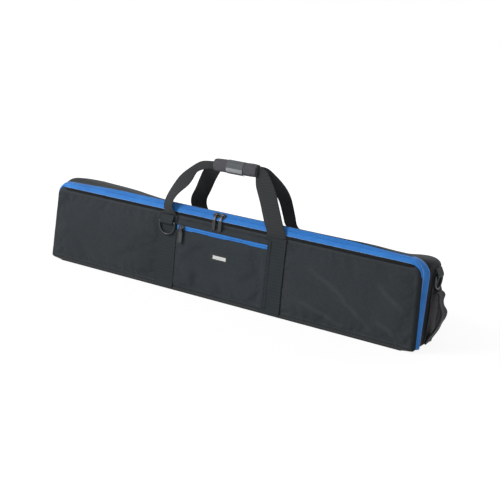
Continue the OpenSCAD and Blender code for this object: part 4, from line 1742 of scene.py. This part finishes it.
# %% Zip pulls
EYE_R = 1.55
KNUCKLE_R = 2.7
KNUCKLE_HALF = 4.6


def knuckle(x, y, z):
    """A short tube along X, turned from its section."""
    half = ((-1, EYE_R), (-1, 2.3), (-0.9, KNUCKLE_R))
    section = (*half, (0.9, KNUCKLE_R), (1, 2.3), (1, EYE_R), half[0])
    lines = []
    for angle in angles(24):
        up = Vector((0, math.cos(angle), math.sin(angle)))
        lines.append([Vector((a * KNUCKLE_HALF, 0, 0)) * MM + up * r * MM for a, r in section])
    piece = loft("knuckle", lines, 0)
    turn_out(piece, merge=True)
    piece.data.transform(Matrix.Translation(Vector((x, y, z)) * MM))
    return piece


def tongue(x, y, top, low, width, thick, parts_in):
    """A flat frame with rounded corners and a sunk middle."""
    tall = (top - low) * MM
    wide = width * MM
    piece = cube("tongue")
    edit(piece, "SELECT")
    bpy.ops.transform.resize(value=(wide, thick * MM, tall))
    choose(piece, lambda m, e: abs(m.x) > 0.4 * wide and abs(m.z) > 0.4 * tall, "edges")
    bpy.ops.mesh.bevel(offset=0.34 * wide, segments=4, affect="EDGES")
    choose(piece, lambda m, f: abs(f.normal.y) > 0.9)
    bpy.ops.mesh.bevel(offset=0.3 * MM, segments=2, affect="EDGES")
    choose(piece, lambda m, f: f.normal.y < -0.99)
    bpy.ops.mesh.inset(thickness=0.17 * wide, depth=0)
    bpy.ops.mesh.inset(thickness=0.3 * MM, depth=-0.5 * MM)
    done()
    cover(piece, parts_in)
    for face in piece.data.polygons:
        if face.select:
            face.material_index = 1
    piece.data.transform(Matrix.Translation(Vector((x, y, (top + low) / 2)) * MM))
    return piece


def zip_pull(name, body, node, x, bar_at, hang, low, width, thick, parts_in):
    """bar_at is the bridge and hang the top of the tongue, both as (y, z) in mm."""
    reach = Vector((0, hang[0] - bar_at[0], hang[1] - bar_at[1]))
    start = Vector((0, *bar_at)) + reach.normalized() * (KNUCKLE_R - 0.4)
    length = (Vector((0, *hang)) - start).length + 1.5
    lean = Matrix.Rotation(math.atan2(reach.y, -reach.z), 4, "X")
    middle = start + reach.normalized() * (length / 2 - 0.2)
    parts = [
        tongue(x, hang[0], hang[1] + 0.5, low, width, thick, parts_in),
        block((0.62 * width, 0.8 * thick, length), (x, middle.y, middle.z), 0.3, lean),
        knuckle(x, *bar_at),
    ]
    for part in parts:
        cover(part, parts_in[0])
    dress(joined(name, parts), body, parts_in, (node,), 40)


MAIN_PULL = ((-72.445, 206.445), (-80.3, 194.6), 168.6, 8, 1.8, [PULL_STEEL, RUBBER])
POCKET_PULL = ((-85.9, 158), (-85.9, 149.5), 122.2, 12, 2.8, [RUBBER, RUBBER_INLAY])
for word, x in MAIN_SLIDERS:
    zip_pull(f"pull_{word}", f"{word}_pull", f"main_pull_{word}", x, *MAIN_PULL)
zip_pull("pull_pocket", "pocket_pull_body", "pocket_pull", POCKET_SLIDER_X, *POCKET_PULL)

# %% [markdown]
# The three rings are carried over from the CAD model: bent round wire is what they are there too.

# %% Finish of the rings
for node in ("front_ring", "left_ring", "right_ring"):
    ring = bpy.data.objects[node]
    ring.data.materials.clear()
    ring.data.materials.append(RING_STEEL)
    print(node, "in", RING_STEEL.name)

# %% [markdown]
# The last cell prints the box of the dressed model, to set beside the box of the CAD model printed at
# the start.

# %% Size of the dressed model
low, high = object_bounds()
print("dressed box in mm", [round(v / MM) for v in high - low])
